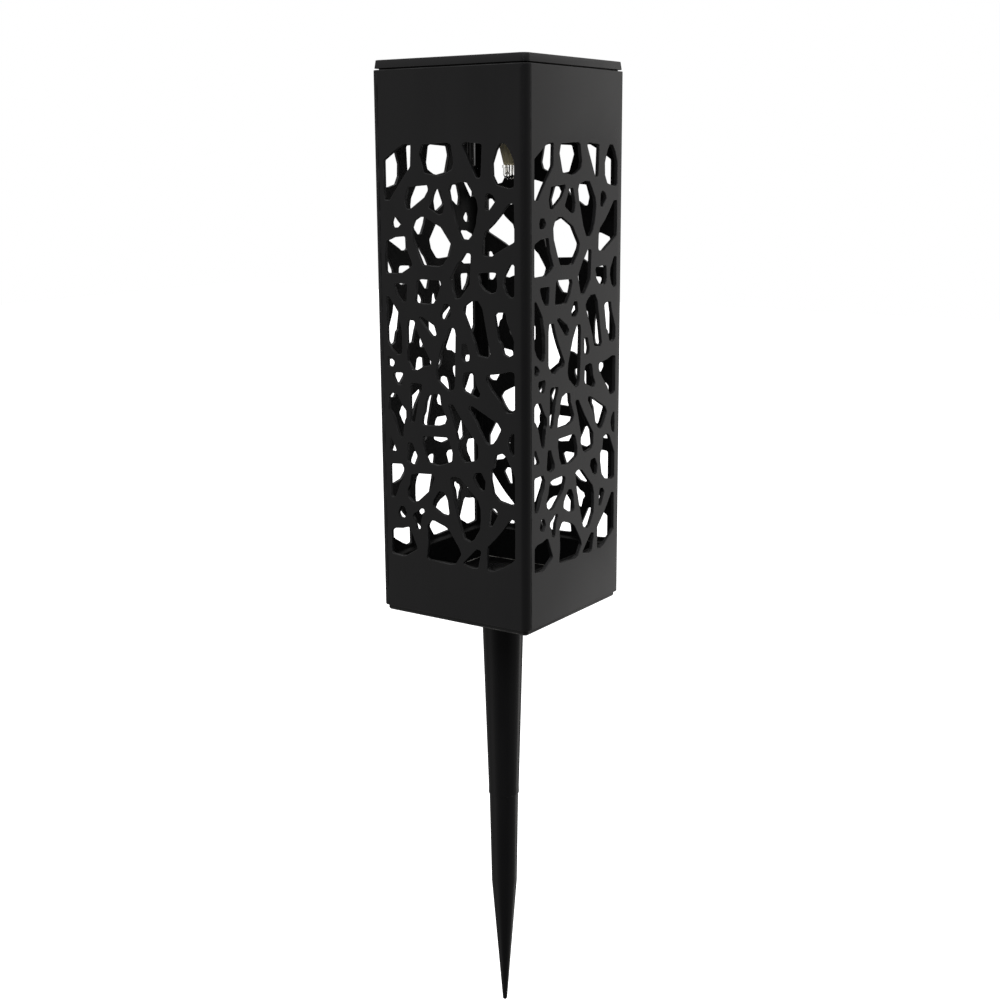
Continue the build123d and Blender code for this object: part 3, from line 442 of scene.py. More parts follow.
def roundedProfile(points, radius, steps=4):
    # the profile with its inner corners rounded
    result = [points[0]]
    for before, corner, after in zip(points, points[1:], points[2:]):
        corner, back, forward = Vector(corner), Vector(before), Vector(after)
        reach = min(radius, 0.45 * (back - corner).length, 0.45 * (forward - corner).length)
        start = corner + (back - corner).normalized() * reach
        end = corner + (forward - corner).normalized() * reach
        for step in range(steps + 1):
            t = step / steps
            result.append(tuple(start * (1 - t) ** 2 + corner * 2 * t * (1 - t) + end * t ** 2))
    return result + [points[-1]]


def applyTree(name, mesh, tree, values):
    # runs a geometry tree on a mesh and keeps the plain result
    carrier = bpy.data.objects.new(name + "Carrier", mesh)
    bpy.context.scene.collection.objects.link(carrier)
    modifier = carrier.modifiers.new("nodes", "NODES")
    modifier.node_group = tree
    for item in tree.interface.items_tree:
        if item.item_type == "SOCKET" and item.in_out == "INPUT" and item.name in values:
            modifier[item.identifier] = values[item.name]
    bpy.context.view_layer.update()
    evaluated = carrier.evaluated_get(bpy.context.evaluated_depsgraph_get())
    result = bpy.data.meshes.new_from_object(evaluated)
    result.name = name
    carrier.modifiers.remove(modifier)
    bpy.data.objects.remove(carrier)
    return result


# pierced panels: a sheet with rounded hole edges, its right end bent round the corner

panel = {"edgeRound": 0.22, "bendSteps": 10, "joint": 0.02, "seam": 0.12, "insideDepth": 0.3,
         "weld": 0.002, "rubbedAndHighlitFacing": (0.05, 0.95)}  # lengths in mm


def holeLoops(node, level):
    # outlines of the flat face that stands at y = level, read from the frame's node
    work = bmesh.new()
    work.from_mesh(nodes[node].data)
    bmesh.ops.remove_doubles(work, verts=work.verts, dist=merging)
    onFace = lambda face: all(abs(v.co.y - level) < merging for v in face.verts)
    shared = [e for e in work.edges if len(e.link_faces) == 2]
    rim = [e for e in shared if onFace(e.link_faces[0]) != onFace(e.link_faces[1])]
    neighbours = {}
    for edge in rim:
        a, b = edge.verts
        neighbours.setdefault(a.index, []).append(b.index)
        neighbours.setdefault(b.index, []).append(a.index)
    work.verts.ensure_lookup_table()
    loops = []
    left = set(neighbours)
    while left:
        start = min(left)
        loop = [start]
        left.discard(start)
        current = start
        while True:
            onward = [v for v in neighbours[current] if v in left]
            if not onward:
                break
            current = onward[0]
            left.discard(current)
            loop.append(current)
        loops.append([tuple(work.verts[i].co[k] / mm for k in (0, 2)) for i in loop])
    work.free()
    loops.sort(key=len)
    widths = [max(p[0] for p in loop) - min(p[0] for p in loop) for loop in loops]
    del loops[widths.index(max(widths))]  # the panel's own outline
    return loops


def makePanelMesh(wall, cornerRadius):
    low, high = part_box("panel_front")
    outerY = low.y / mm
    flatEnd = high.x / mm - cornerRadius
    bendLength = (cornerRadius - wall / 2) * math.pi / 2 - panel["joint"]
    left, right = low.x / mm, flatEnd + bendLength
    bottom, top = low.z / mm, high.z / mm
    rim = [(left, bottom), (right, bottom), (right, top), (left, top)]
    curve = bpy.data.curves.new("panelOutline", "CURVE")
    curve.dimensions = "2D"
    curve.fill_mode = "BOTH"
    edgeRound = panel["edgeRound"]
    curve.extrude = wall / 2 - edgeRound
    curve.bevel_depth = edgeRound
    curve.bevel_resolution = 1
    curve.offset = -edgeRound
    for outline in [rim] + holeLoops("panel_front", low.y):
        spline = curve.splines.new("POLY")
        spline.points.add(len(outline) - 1)
        spline.use_cyclic_u = True
        for point, place in zip(spline.points, outline):
            point.co = (place[0], place[1], 0, 1)
    carrier = bpy.data.objects.new("panelOutline", curve)
    bpy.context.scene.collection.objects.link(carrier)
    bpy.context.view_layer.update()
    evaluated = carrier.evaluated_get(bpy.context.evaluated_depsgraph_get())
    mesh = bpy.data.meshes.new_from_object(evaluated)
    bpy.data.objects.remove(carrier)
    work = bmesh.new()
    work.from_mesh(mesh)
    bmesh.ops.remove_doubles(work, verts=work.verts, dist=panel["weld"])
    # stand the sheet up, its back on the wall's inner face
    for vert in work.verts:
        vert.co = Vector((vert.co.x, outerY + wall / 2 - vert.co.z, vert.co.y))
    # the outer rounded edges are marked to get the paler edge colour, a painted highlight together with wear
    rub = work.faces.layers.float.new("rub")
    bmesh.ops.recalc_face_normals(work, faces=work.faces)
    least, most = panel["rubbedAndHighlitFacing"]
    for face in work.faces:
        face[rub] = 1.0 if least < -face.normal.y < most else 0.0  # only the outer rounded edges
    for step in range(panel["bendSteps"]):
        place = flatEnd + bendLength * step / panel["bendSteps"]
        bmesh.ops.bisect_plane(work, geom=work.verts[:] + work.edges[:] + work.faces[:], dist=1e-4,
                               plane_co=(place, 0, 0), plane_no=(1, 0, 0))
    centre = Vector((flatEnd, outerY + cornerRadius, 0))
    for vert in work.verts:
        past = vert.co.x - flatEnd
        if past > 0:
            angle = past / bendLength * math.pi / 2
            reach = centre.y - vert.co.y
            vert.co.x = centre.x + reach * math.sin(angle)
            vert.co.y = centre.y - reach * math.cos(angle)
    bmesh.ops.recalc_face_normals(work, faces=work.faces)
    for vert in work.verts:
        vert.co *= mm
    work.to_mesh(mesh)
    work.free()
    return mesh


bodyLow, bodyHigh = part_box("panel_front")
wall = (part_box("base_tray")[0].y - bodyLow.y) / mm
panelMesh = makePanelMesh(wall, (bodyHigh.x - abs(bodyLow.x)) / mm - panel["seam"])
print("panel mesh:", len(panelMesh.polygons), "faces")


def makeQuarterTree():
    # turns a mesh about Z by a number of quarter turns
    tree, inside = newGeometryTree("quarterTurn", {"Quarter Turns": 0.0})
    angle = addNode(tree, "ShaderNodeMath", (-400, -150), {"operation": "MULTIPLY"}, {1: math.pi / 2})
    turn = addNode(tree, "ShaderNodeCombineXYZ", (-200, -150))
    move = addNode(tree, "GeometryNodeTransform", (0, 0))
    wire(tree, (inside, "Quarter Turns", angle, 0), (angle, 0, turn, "Z"), (turn, 0, move, "Rotation"),
         (inside, "Geometry", move, "Geometry"))
    return endTree(tree, inside, move)


quarterTree = makeQuarterTree()
innerFace = abs(bodyLow.y) - (wall - panel["insideDepth"]) * mm
for turns, side in enumerate(("front", "right", "back", "left")):
    name = "panel" + side.capitalize()
    mesh = applyTree(name, panelMesh.copy(), quarterTree,
                     {"Quarter Turns": float(turns), "Finish": finishes["body"]})
    piece = finishMesh(name, mesh, finishes["body"], 20)
    # inner faces get the darker inside plastic: painted shade for the shaded interior
    piece.data.materials.append(finishes["inside"])
    for face in mesh.polygons:
        x, y = face.center.x, face.center.y
        inward = Vector((x, y, 0)).dot(face.normal) < 0 and abs(face.normal.z) < 0.5
        if inward and max(abs(x), abs(y)) < innerFace:
            face.material_index = 1
    settle(piece, "lantern_body", "body_black", "panel_" + side)
print("body panels placed")


# moulded parts whose sharp edges are rounded over

softEdges = {  # part: edge width, finish, body, slot
    "base_tray": (0.14 * mm, "tray", "lantern_body", "tray_black"),
    "base_plate": (0.15 * mm, "foot", "lantern_body", "foot_black"),
    "top_frame": (0.2 * mm, "frame", "lantern_body", "frame_black"),
    "cap_lid": (0.12 * mm, "cap", "cap", "cap_black"),
    "switch_lever": (0.12 * mm, "lever", "switch", "lever_black"),
}


edging = {"flat": 0.5, "sharp": 40, "steps": 2}  # angles in degrees


def makeSoftened(node, width):
    work = bmesh.new()
    work.from_mesh(nodes[node].data)
    bmesh.ops.remove_doubles(work, verts=work.verts, dist=merging)
    bmesh.ops.dissolve_limit(work, angle_limit=math.radians(edging["flat"]), verts=work.verts,
                             edges=work.edges)
    corner = math.radians(edging["sharp"])
    sharp = [e for e in work.edges if len(e.link_faces) == 2 and e.calc_face_angle(0) > corner]
    # the new rounded faces are marked to get the paler edge colour: a painted highlight on edges that catch
    # the light, with some wear
    rub = work.faces.layers.float.new("rub")
    rounded = bmesh.ops.bevel(work, geom=sharp, offset=width, segments=edging["steps"], profile=0.5,
                              affect="EDGES", clamp_overlap=True)
    for face in rounded["faces"]:
        face[rub] = 1.0
    bmesh.ops.remove_doubles(work, verts=work.verts, dist=merging)
    return meshFrom(work, node + "Soft")


for node, (width, finish, body, slot) in softEdges.items():
    words = node.split("_")
    name = words[0] + "".join(word.capitalize() for word in words[1:])
    settle(finishMesh(name, makeSoftened(node, width), finishes[finish], 40), body, slot, node)
print("edges softened:", len(softEdges))


# stake: two tapered lengths, made by one rule

stake = {"rings": 120, "crowding": 2.2, "lipReach": 3 * mm}


def makeTaperTree():
    # a round length that tapers from the top to a knee and on to its end, with a plug above it
    tree, inside = newGeometryTree("taperedStake", {
        "Top Height": 0.0, "Length": 0.084, "Top Width": 0.0175, "Knee At": 0.5, "Knee Width": 0.015,
        "End Width": 0.0125, "End Round": 0.0006, "Lip": 0.0002, "Plug Length": 0.011, "Plug Width": 0.014,
        "Sides": 96})
    link = tree.links.new

    def maths(operation, *values, clamp=False):
        node = addNode(tree, "ShaderNodeMath", settings={"operation": operation, "use_clamp": clamp})
        return feed(tree, node, *values)

    given = inside.outputs
    shaft = addNode(tree, "GeometryNodeMeshCylinder", (-1100, 0),
                    inputs={"Radius": 1.0, "Depth": 1.0, "Side Segments": stake["rings"]})
    link(given["Sides"], shaft.inputs["Vertices"])
    where = addNode(tree, "GeometryNodeInputPosition", (-1100, -300))
    split = addNode(tree, "ShaderNodeSeparateXYZ", (-900, -300))
    link(where.outputs[0], split.inputs[0])
    # even steps become finer towards the end
    even = maths("SUBTRACT", 0.5, split.outputs["Z"], clamp=True)
    along = maths("SUBTRACT", 1.0, maths("POWER", maths("SUBTRACT", 1.0, even), stake["crowding"]))
    toKnee = addNode(tree, "ShaderNodeMapRange")
    fromKnee = addNode(tree, "ShaderNodeMapRange", inputs={3: 0.0})
    link(along, toKnee.inputs[0])
    wire(tree, (inside, "Knee At", toKnee, 2), (inside, "Top Width", toKnee, 3),
         (inside, "Knee Width", toKnee, 4))
    link(along, fromKnee.inputs[0])
    link(given["Knee At"], fromKnee.inputs[1])
    link(maths("SUBTRACT", given["End Width"], given["Knee Width"]), fromKnee.inputs[4])
    width = maths("ADD", toKnee.outputs[0], fromKnee.outputs[0])
    toEnd = maths("MULTIPLY", maths("SUBTRACT", 1.0, along), given["Length"])
    # a slight lip just above the end
    lipPlace = maths("SUBTRACT", 1.0, maths("DIVIDE", toEnd, stake["lipReach"]), clamp=True)
    width = maths("ADD", width, maths("MULTIPLY", lipPlace, given["Lip"]))
    near = maths("SUBTRACT", 1.0, maths("DIVIDE", toEnd, given["End Round"]), clamp=True)
    keep = maths("SQRT", maths("SUBTRACT", 1.0, maths("MULTIPLY", near, near)))
    cut = maths("MULTIPLY", given["End Round"], maths("SUBTRACT", 1.0, keep))
    radius = maths("SUBTRACT", maths("MULTIPLY", width, 0.5), cut)
    place = addNode(tree, "ShaderNodeCombineXYZ")
    link(maths("MULTIPLY", split.outputs["X"], radius), place.inputs[0])
    link(maths("MULTIPLY", split.outputs["Y"], radius), place.inputs[1])
    link(maths("SUBTRACT", given["Top Height"], maths("MULTIPLY", along, given["Length"])), place.inputs[2])
    shape = addNode(tree, "GeometryNodeSetPosition", (600, 0))
    wire(tree, (shaft, "Mesh", shape, "Geometry"), (place, 0, shape, "Position"))
    plug = addNode(tree, "GeometryNodeMeshCylinder", (0, 400), inputs={"Side Segments": 12})
    link(given["Sides"], plug.inputs["Vertices"])
    link(maths("MULTIPLY", given["Plug Width"], 0.5), plug.inputs["Radius"])
    link(given["Plug Length"], plug.inputs["Depth"])
    lift = addNode(tree, "GeometryNodeTransform", (600, 400))
    liftBy = addNode(tree, "ShaderNodeCombineXYZ")
    link(maths("ADD", given["Top Height"], maths("MULTIPLY", given["Plug Length"], 0.5)), liftBy.inputs[2])
    wire(tree, (liftBy, 0, lift, "Translation"), (plug, "Mesh", lift, "Geometry"))
    both = addNode(tree, "GeometryNodeJoinGeometry", (900, 200))
    wire(tree, (lift, 0, both, 0), (shape, 0, both, 0))
    return endTree(tree, inside, both)


taperTree = makeTaperTree()
tubeLow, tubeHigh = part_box("stake_tube")
pointLow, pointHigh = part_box("stake_point")
jointZ = tubeLow.z
upperStake = {"Top Height": 0.0, "Length": -jointZ, "Top Width": tubeHigh.x * 2, "Knee At": 0.5,
              "Knee Width": 0.01505, "End Width": 0.0126, "End Round": 0.0003, "Lip": 0.00025,
              "Plug Length": tubeHigh.z, "Plug Width": 0.014, "Sides": 96, "Finish": finishes["stake"]}
lowerStake = {"Top Height": jointZ, "Length": jointZ - pointLow.z, "Top Width": pointHigh.x * 2,
              "Knee At": 0.415, "Knee Width": 0.0108, "End Width": 0.0018, "End Round": 0.00088, "Lip": 0.0,
              "Plug Length": pointHigh.z - jointZ, "Plug Width": 0.0083, "Sides": 96,
              "Finish": finishes["stake"]}
emptyMesh = bpy.data.meshes.new("none")
for name, values, body, node in (("stakeTube", upperStake, "upper_stake", "stake_tube"),
                                 ("stakePoint", lowerStake, "lower_stake", "stake_point")):
    mesh = applyTree(name, emptyMesh.copy(), taperTree, values)
    settle(finishMesh(name, mesh, finishes["stake"], 35), body, "stake_black", node)
print("stake made")


# screws: one tree sets a cross-head screw on each given point

def makeScrewTree():
    tree, inside = newGeometryTree("crossScrew", {
        "Head Width": 0.0048, "Head Height": 0.0012, "Shank Width": 0.0024, "Shank Length": 0.008,
        "Recess": 0.0007, "Slot Width": 0.0007})
    given = inside.outputs
    link = tree.links.new

    def maths(operation, first, second):
        return feed(tree, addNode(tree, "ShaderNodeMath", settings={"operation": operation}), first, second)

    def vector(x=0.0, y=0.0, z=0.0):
        return feed(tree, addNode(tree, "ShaderNodeCombineXYZ"), x, y, z)

    # the head is a flat cone, its wide end down at the point
    head = addNode(tree, "GeometryNodeMeshCone", inputs={"Vertices": 40, "Side Segments": 3})
    link(maths("MULTIPLY", given["Head Width"], 0.5), head.inputs["Radius Bottom"])
    link(maths("MULTIPLY", given["Shank Width"], 0.5), head.inputs["Radius Top"])
    link(given["Head Height"], head.inputs["Depth"])
    shank = addNode(tree, "GeometryNodeMeshCylinder", inputs={"Vertices": 24, "Side Segments": 4})
    link(maths("MULTIPLY", given["Shank Width"], 0.5), shank.inputs["Radius"])
    link(given["Shank Length"], shank.inputs["Depth"])
    middle = maths("MULTIPLY", given["Shank Length"], 0.498)  # the shank starts just inside the head
    raised = addNode(tree, "GeometryNodeTransform")
    link(shank.outputs["Mesh"], raised.inputs["Geometry"])
    link(vector(z=maths("ADD", given["Head Height"], middle)), raised.inputs["Translation"])
    bars = []
    for turned in (False, True):
        bar = addNode(tree, "GeometryNodeMeshCube")
        long = maths("MULTIPLY", given["Head Width"], 0.62)  # a slot ends short of the rim
        deep = maths("MULTIPLY", given["Recess"], 2.0)
        link(vector(given["Slot Width"], long, deep) if turned else vector(long, given["Slot Width"], deep),
             bar.inputs["Size"])
        bars.append(bar.outputs["Mesh"])
    carve = addNode(tree, "GeometryNodeMeshBoolean", settings={"operation": "DIFFERENCE"})
    link(head.outputs["Mesh"], carve.inputs["Mesh 1"])
    for bar in bars:
        link(bar, carve.inputs["Mesh 2"])
    whole = addNode(tree, "GeometryNodeJoinGeometry")
    wire(tree, (carve, 0, whole, 0), (raised, 0, whole, 0))
    place = addNode(tree, "GeometryNodeInstanceOnPoints", (900, 0))
    wire(tree, (inside, "Geometry", place, "Points"), (whole, 0, place, "Instance"))
    return endTree(tree, inside, place)


screwTree = makeScrewTree()


def boxCorners(node, inset):
    # the four places, inset from a node's box, at its lowest height
    low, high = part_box(node)
    return [(x, y, low.z) for x in (low.x + inset, high.x - inset) for y in (low.y + inset, high.y - inset)]


screw = {"Head Width": 4.8 * mm, "Head Height": 1.2 * mm, "Shank Width": 2.3 * mm, "Recess": 0.6 * mm,
         "Slot Width": 0.7 * mm}


def placeScrews(name, places, body, node):
    low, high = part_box(node)
    points = bpy.data.meshes.new(name + "Points")
    points.from_pydata(places, [], [])
    values = {**screw, "Shank Length": high.z - low.z - screw["Head Height"], "Finish": finishes["screw"]}
    mesh = applyTree(name, points, screwTree, values)
    settle(finishMesh(name, mesh, finishes["screw"]), body, "screw_steel", node)


headRadius = screw["Head Width"] / 2
placeScrews("baseScrews", boxCorners("base_screws", headRadius), "lantern_body", "base_screws")
placeScrews("housingScrews", boxCorners("housing_screws", headRadius), "cap", "housing_screws")
doorLow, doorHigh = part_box("door_screw")
placeScrews("doorScrew", [((doorLow.x + doorHigh.x) / 2, (doorLow.y + doorHigh.y) / 2, doorLow.z)],
            "battery_hatch", "door_screw")
print("screws set")


# lamp: a clear lens with its little frame inside, under a tapered sleeve

ledLow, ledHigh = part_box("led_lamp")
lampAxis = ((ledLow.x + ledHigh.x) / 2, (ledLow.y + ledHigh.y) / 2)
lamp = {"lens": 5.0 * mm, "domeSteps": 12, "sides": 64, "flange": 5.8 * mm, "flangeHeight": 1.0 * mm,
        "flangeRound": 0.1 * mm}
# in mm: where each leg stands and its length, the section of a leg, the cup as radius and depth
lampFrame = {"below": 0.2, "legs": ((-0.9, 2.6), (0.9, 2.4)), "legSize": (0.5, 0.45), "legRound": 0.08,
             "cup": ((0.25, 2.4), (0.55, 2.4), (0.65, 3.1), (0.45, 3.1), (0.2, 2.8), (0, 2.8)),
             "cupAt": -0.6, "cupSides": 24}


def makeLens():
    radius = lamp["lens"] / 2
    flange = lamp["flange"] / 2
    edge = lamp["flangeRound"]
    top = ledHigh.z
    under = top - lamp["flangeHeight"]
    domeCentre = ledLow.z + radius
    profile = [(0, top), (flange - edge, top), (flange, top - edge), (flange, under + edge),
               (flange - edge, under), (radius, under), (radius, domeCentre)]
    for step in range(1, lamp["domeSteps"] + 1):
        angle = math.pi / 2 * step / lamp["domeSteps"]
        profile.append((radius * math.cos(angle), domeCentre - radius * math.sin(angle)))
    return turnedMesh("lampLens", profile, lamp["sides"], lampAxis)


def makeLampFrame():
    # the two metal legs in the lens, and the cup that one of them ends in
    top = ledHigh.z - lampFrame["below"] * mm
    width, depth = lampFrame["legSize"]
    work = bmesh.new()
    for shift, length in lampFrame["legs"]:
        place = Matrix.Translation((lampAxis[0] + shift * mm, lampAxis[1], top - length * mm / 2))
        size = Matrix.Diagonal((width * mm, depth * mm, length * mm, 1))
        bmesh.ops.create_cube(work, size=1.0, matrix=place @ size)
    bmesh.ops.bevel(work, geom=work.edges[:], offset=lampFrame["legRound"] * mm, segments=2, affect="EDGES",
                    profile=0.5)
    profile = [(radius * mm, top - deep * mm) for radius, deep in lampFrame["cup"]]
    work.from_mesh(turnedMesh("lampCup", profile, lampFrame["cupSides"],
                              (lampAxis[0] + lampFrame["cupAt"] * mm, lampAxis[1])))
    return meshFrom(work, "lampFrame")


settle(finishMesh("lampLens", makeLens(), finishes["lens"], 40), "cap", "lamp_clear", "led_lamp")
settle(finishMesh("lampFrame", makeLampFrame(), finishes["nickel"]), "cap", "contact_nickel")
sleeveLow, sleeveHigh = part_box("lamp_sleeve")
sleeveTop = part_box("cap_housing")[0].z
sleeveWide = (sleeveHigh.x - sleeveLow.x) / 2
sleeve = {"endWidth": 4.6 * mm, "bore": 3.4 * mm, "spigot": 7.0 * mm, "round": 0.4 * mm, "sides": 64}
bore, spigot = sleeve["bore"] / 2, sleeve["spigot"] / 2
sleeveProfile = [(bore, sleeveHigh.z), (spigot, sleeveHigh.z), (spigot, sleeveTop), (sleeveWide, sleeveTop),
                 (sleeve["endWidth"] / 2, sleeveLow.z), (bore, sleeveLow.z), (bore, sleeveHigh.z)]


def makeSleeve():
    outline = roundedProfile(sleeveProfile, sleeve["round"])
    mesh = turnedMesh("lampSleeve", outline, sleeve["sides"], lampAxis)
    work = bmesh.new()
    work.from_mesh(mesh)
    caps = [face for face in work.faces if len(face.verts) > 4]
    bmesh.ops.delete(work, geom=caps, context="FACES_ONLY")
    bmesh.ops.remove_doubles(work, verts=work.verts, dist=merging)
    bmesh.ops.recalc_face_normals(work, faces=work.faces)
    work.to_mesh(mesh)
    work.free()
    return mesh


settle(finishMesh("lampSleeve", makeSleeve(), finishes["sleeve"], 40), "cap", "sleeve_olive", "lamp_sleeve")
print("lamp made")


# solar cell: thin silver lines printed over the silicon

cellLow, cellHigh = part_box("solar_cell")
cellLines = {"fingers": 30, "fingerWidth": 0.12 * mm, "bars": 2, "barWidth": 1.2 * mm, "height": 0.02 * mm,
             "margin": 1.2 * mm}


def makeLineTree():
    # evenly spaced thin bars along Y
    tree, inside = newGeometryTree("printedLines", {
        "Count": 30, "Spacing": 0.0015, "Start": 0.0, "Line Height": 0.0,
        "Line Size": (0.001, 0.04, 0.00002)})
    first = addNode(tree, "ShaderNodeCombineXYZ", (-600, 0))
    stride = addNode(tree, "ShaderNodeCombineXYZ", (-600, -200))
    row = addNode(tree, "GeometryNodeMeshLine", (-300, 0), {"mode": "OFFSET"})
    bar = addNode(tree, "GeometryNodeMeshCube", (-300, -300))
    place = addNode(tree, "GeometryNodeInstanceOnPoints", (0, 0))
    wire(tree, (inside, "Start", first, 0), (inside, "Line Height", first, 2),
         (inside, "Spacing", stride, 0), (inside, "Count", row, "Count"),
         (first, 0, row, "Start Location"), (stride, 0, row, "Offset"),
         (inside, "Line Size", bar, "Size"), (row, 0, place, "Points"), (bar, 0, place, "Instance"))
    return endTree(tree, inside, place)


lineTree = makeLineTree()
cellWidth = cellHigh.x - cellLow.x - 2 * cellLines["margin"]
printed = bmesh.new()
for count, width, turned in ((cellLines["fingers"], cellLines["fingerWidth"], False),
                             (cellLines["bars"], cellLines["barWidth"], True)):
    spacing = cellWidth / (count - 1) if not turned else cellWidth / 2
    start = -cellWidth / 2 if not turned else -cellWidth / 4
    lines = applyTree("cellLines", emptyMesh.copy(), lineTree,
                      {"Count": count, "Spacing": spacing, "Start": start,
                       "Line Height": cellHigh.z + cellLines["height"] / 2,
                       "Line Size": (width, cellWidth, cellLines["height"]), "Finish": finishes["nickel"]})
    if turned:
        lines.transform(Matrix.Rotation(math.pi / 2, 4, "Z"))
    printed.from_mesh(lines)
settle(finishMesh("cellLines", meshFrom(printed, "cellLines"), finishes["nickel"]), "cap", "contact_nickel")
print("solar cell printed")


# battery, turned along X

batteryLow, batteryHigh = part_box("battery_cell")
battery = {"nub": 5.5 * mm, "nubLength": 1.2 * mm, "soft": 0.6 * mm, "wrapEdge": 1.2 * mm,
           "crimp": 0.25 * mm, "shoulder": 0.3 * mm, "lip": 1.0 * mm, "rim": 1.2 * mm,
           "round": 0.2 * mm, "sides": 64}


def makeBattery():
    radius = (batteryHigh.y - batteryLow.y) / 2
    start, end = batteryLow.x, batteryHigh.x
    shoulder = end - battery["nubLength"]
    crimp, soft, nub = battery["crimp"], battery["soft"], battery["nub"] / 2
    lip, rim = radius - battery["lip"], radius - battery["rim"]
    profile = [(0, start), (rim, start), (lip, start + crimp), (radius - crimp, start + crimp),
               (radius, start + soft), (radius, shoulder - soft), (radius - battery["shoulder"], shoulder),
               (lip, shoulder), (rim, shoulder - crimp), (nub, shoulder - crimp), (nub, end), (0, end)]
    outline = roundedProfile(profile, battery["round"], 3)[::-1]
    mesh = turnedMesh("batteryCell", outline, battery["sides"])
    centre = (batteryLow + batteryHigh) / 2
    lengthwise = Matrix.Rotation(math.pi / 2, 4, "Y")
    mesh.transform(Matrix.Translation((0, centre.y, centre.z)) @ lengthwise)
    return mesh


finishes["battery"] = batteryMaterial(wrapLook, (batteryLow.x + battery["wrapEdge"] / 2,
                                                 batteryHigh.x - battery["nubLength"]))
cell = finishMesh("batteryCell", makeBattery(), finishes["battery"])
settle(cell, "battery", "battery_wrap", "battery_cell")
print("battery made")


# the frame's own nodes get their finishes

nodeFinish = {
    "solar_cell": "silicon", "solar_cover": "cover", "sealing_gasket": "rubber",
    "cap_housing": "housing", "battery_door": "housing",
    "negative_contact": "nickel", "positive_contact": "nickel", "battery_spring": "nickel",
    "circuit_board": "board", "board_screws": "screw", "driver_chip": "chip", "inductor": "chip",
    "switch_body": "screw", "led_leads": "lead", "solar_leads": "lead", "battery_leads": "lead",
}
for node, finish in nodeFinish.items():
    data = nodes[node].data
    data.materials.clear()
    data.materials.append(finishes[finish])
print("frame nodes finished:", len(nodeFinish))


# floor, light and camera

studio = {"floorSize": 8.0, "floorDrop": 105 * mm, "white": (0.93, 0.93, 0.93), "overhead": 0.9,
          "overheadFrom": 0.2, "overheadTo": 0.85, "warmth": (1.0, 0.985, 0.975),
          "cloud": (0.96, 0.96, 0.96), "roughness": 0.8, "glow": 0.8}

# brightness of the light tent around the object: 0 degrees is in front of the front panel, 90 to its right
tent = ((-180, 0.14), (-145, 0.09), (-110, 0.14), (-75, 0.16), (-50, 0.30), (-40, 0.33), (-30, 0.24),
        (-15, 0.14), (8, 0.07), (60, 0.06), (100, 0.14), (136, 0.25), (146, 0.37), (152, 0.95), (158, 1.3),
        (164, 0.4), (174, 0.2))


def makeStage():
    half = studio["floorSize"] / 2
    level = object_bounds()[0][2] - studio["floorDrop"]  # the stake can be drawn out without meeting the floor
    mesh = bpy.data.meshes.new("floor")
    corners = [(-half, -half, level), (half, -half, level), (half, half, level), (-half, half, level)]
    mesh.from_pydata(corners, [], [(0, 1, 2, 3)])
    floor = bpy.data.objects.new("floor", mesh)
    bpy.context.scene.collection.objects.link(floor)
    material, tree, shader = newMaterial("paleFloor")
    place = addNode(tree, "ShaderNodeTexCoord", (-500, 0))
    cloud = addNode(tree, "ShaderNodeTexNoise", (-300, 0), inputs={"Scale": 6.0, "Detail": 3.0})
    tone = mixColor(tree, studio["white"], studio["cloud"])
    wire(tree, (place, "Object", cloud, "Vector"), (cloud, "Fac", tone, 0), (tone, 2, shader, "Base Color"))
    setSocket(shader, "Roughness", studio["roughness"])
    setSocket(shader, "Emission Color", (1, 1, 1, 1))
    setSocket(shader, "Emission Strength", studio["glow"])
    mesh.materials.append(material)
    # the tent's light reaches the object from below as well
    floor.visible_glossy = False
    floor.visible_diffuse = False
    floor.visible_shadow = False


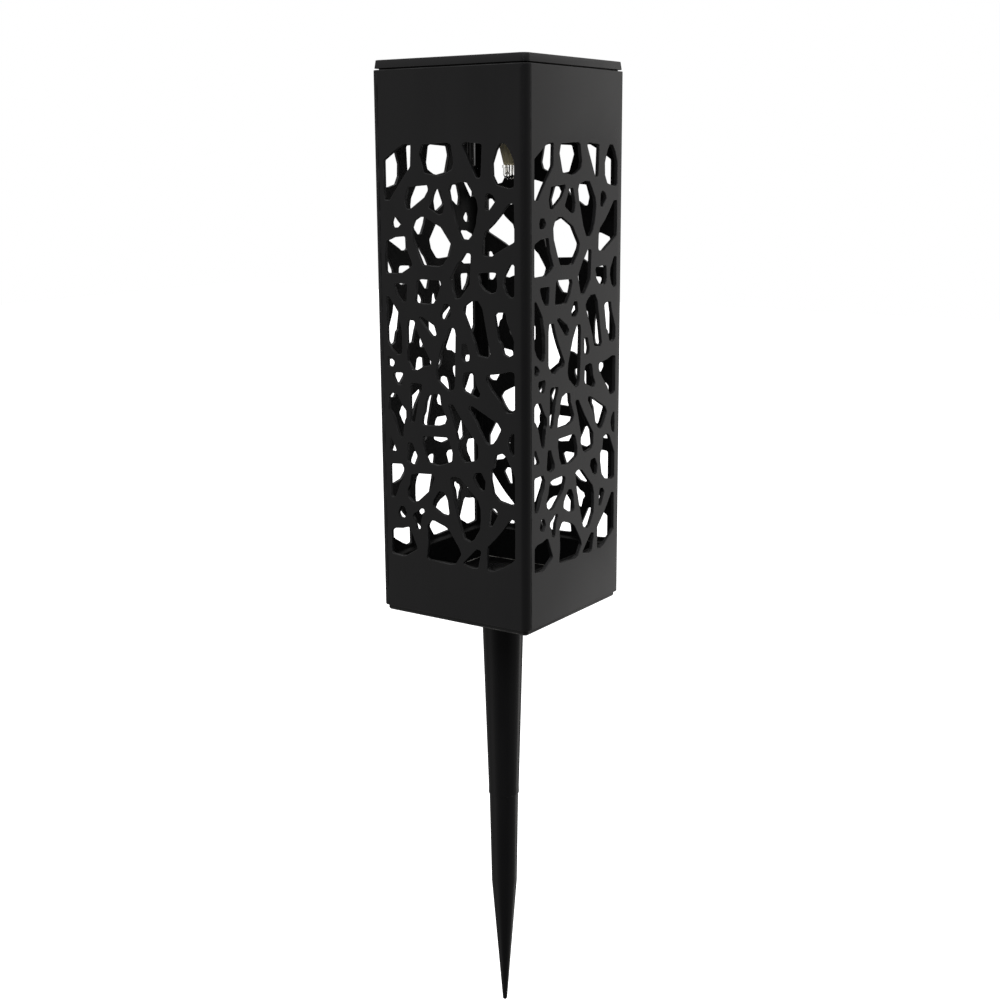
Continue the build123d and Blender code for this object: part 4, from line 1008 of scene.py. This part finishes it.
def makeWorld():
    world = bpy.data.worlds.new("lightTent")
    bpy.context.scene.world = world
    world.use_nodes = True
    tree = world.node_tree
    tree.nodes.clear()
    place = addNode(tree, "ShaderNodeTexCoord", (-1200, 0))
    split = addNode(tree, "ShaderNodeSeparateXYZ", (-1000, 0))
    front = addNode(tree, "ShaderNodeMath", (-800, -100), {"operation": "MULTIPLY"}, {1: -1.0})
    around = addNode(tree, "ShaderNodeMath", (-600, 0), {"operation": "ARCTAN2"})
    share = addNode(tree, "ShaderNodeMapRange", (-400, 0), inputs={1: -math.pi, 2: math.pi})
    ramp = addNode(tree, "ShaderNodeValToRGB", (-200, 0))
    ramp.color_ramp.interpolation = "EASE"
    stops = ramp.color_ramp.elements
    while len(stops) < len(tent):
        stops.new(0.5)
    top = max(level for azimuth, level in tent)
    for stop, (azimuth, level) in zip(stops, tent):
        stop.position = (azimuth + 180) / 360
        stop.color = [level / top * part for part in studio["warmth"]] + [1]
    upward = addNode(tree, "ShaderNodeMapRange", (-400, -300), {"interpolation_type": "SMOOTHSTEP"},
                     {1: studio["overheadFrom"], 2: studio["overheadTo"], 4: 1.0})
    wall = addNode(tree, "ShaderNodeBackground", (100, 0), inputs={"Strength": top})
    above = addNode(tree, "ShaderNodeBackground", (100, -200),
                    inputs={"Color": (1, 1, 1, 1), "Strength": studio["overhead"]})
    given = addNode(tree, "ShaderNodeMixShader", (350, -100))
    seen = addNode(tree, "ShaderNodeBackground", (350, 150),
                   inputs={"Color": (1, 1, 1, 1), "Strength": 1.0})
    rays = addNode(tree, "ShaderNodeLightPath", (0, 500))
    # the backdrop is white to the camera, and through clear pieces too
    straight = addNode(tree, "ShaderNodeMath", (350, 400), {"operation": "MAXIMUM"})
    blend = addNode(tree, "ShaderNodeMixShader", (600, 0))
    out = addNode(tree, "ShaderNodeOutputWorld", (800, 0))
    wire(tree, (place, "Generated", split, 0), (split, "Y", front, 0), (split, "X", around, 0),
         (front, 0, around, 1), (around, 0, share, 0), (share, 0, ramp, 0), (ramp, 0, wall, "Color"),
         (split, "Z", upward, 0), (upward, 0, given, 0), (wall, 0, given, 1), (above, 0, given, 2),
         (rays, "Is Camera Ray", straight, 0), (rays, "Is Transmission Ray", straight, 1),
         (straight, 0, blend, 0), (given, 0, blend, 1), (seen, 0, blend, 2), (blend, 0, out, 0))


def addSoftbox(name, azimuth, height, distance, size, power, target, inReflections):
    # azimuth as for the tent
    light = bpy.data.lights.new(name, "AREA")
    light.shape = "RECTANGLE"
    light.size, light.size_y = size
    light.energy = power
    holder = bpy.data.objects.new(name, light)
    angle = math.radians(azimuth)
    holder.location = (distance * math.sin(angle), -distance * math.cos(angle), height)
    aim = Vector(target) - holder.location
    holder.rotation_euler = aim.to_track_quat("-Z", "Y").to_euler()
    holder.visible_camera = False
    holder.visible_glossy = inReflections
    bpy.context.scene.collection.objects.link(holder)


cameraSet = {"azimuth": 34.39, "pitch": 12.69, "roll": 0.341, "lens": 53.45,
             "place": (0.33135, -0.48573, 0.17538)}


def addCamera():
    data = bpy.data.cameras.new("camera")
    data.lens = cameraSet["lens"]
    data.sensor_width = 36.0
    data.clip_start = 0.01
    camera = bpy.data.objects.new("camera", data)
    turn = (Matrix.Rotation(math.radians(cameraSet["azimuth"]), 4, "Z")
            @ Matrix.Rotation(math.pi / 2 - math.radians(cameraSet["pitch"]), 4, "X")
            @ Matrix.Rotation(-math.radians(cameraSet["roll"]), 4, "Z"))
    camera.matrix_world = Matrix.Translation(cameraSet["place"]) @ turn
    bpy.context.scene.collection.objects.link(camera)
    bpy.context.scene.camera = camera


makeStage()
makeWorld()
softboxes = [
    ("keyAbove", 30, 1.0, 1.1, (0.7, 0.7), 12.0, (0, 0, 0.1), False),
    ("fillFront", 18, 0.36, 1.2, (0.5, 0.25), 2.4, (0, 0, 0.15), False),
]
for box in softboxes:
    addSoftbox(*box)
addCamera()
bpy.context.scene.view_settings.view_transform = "Standard"
print("studio set")
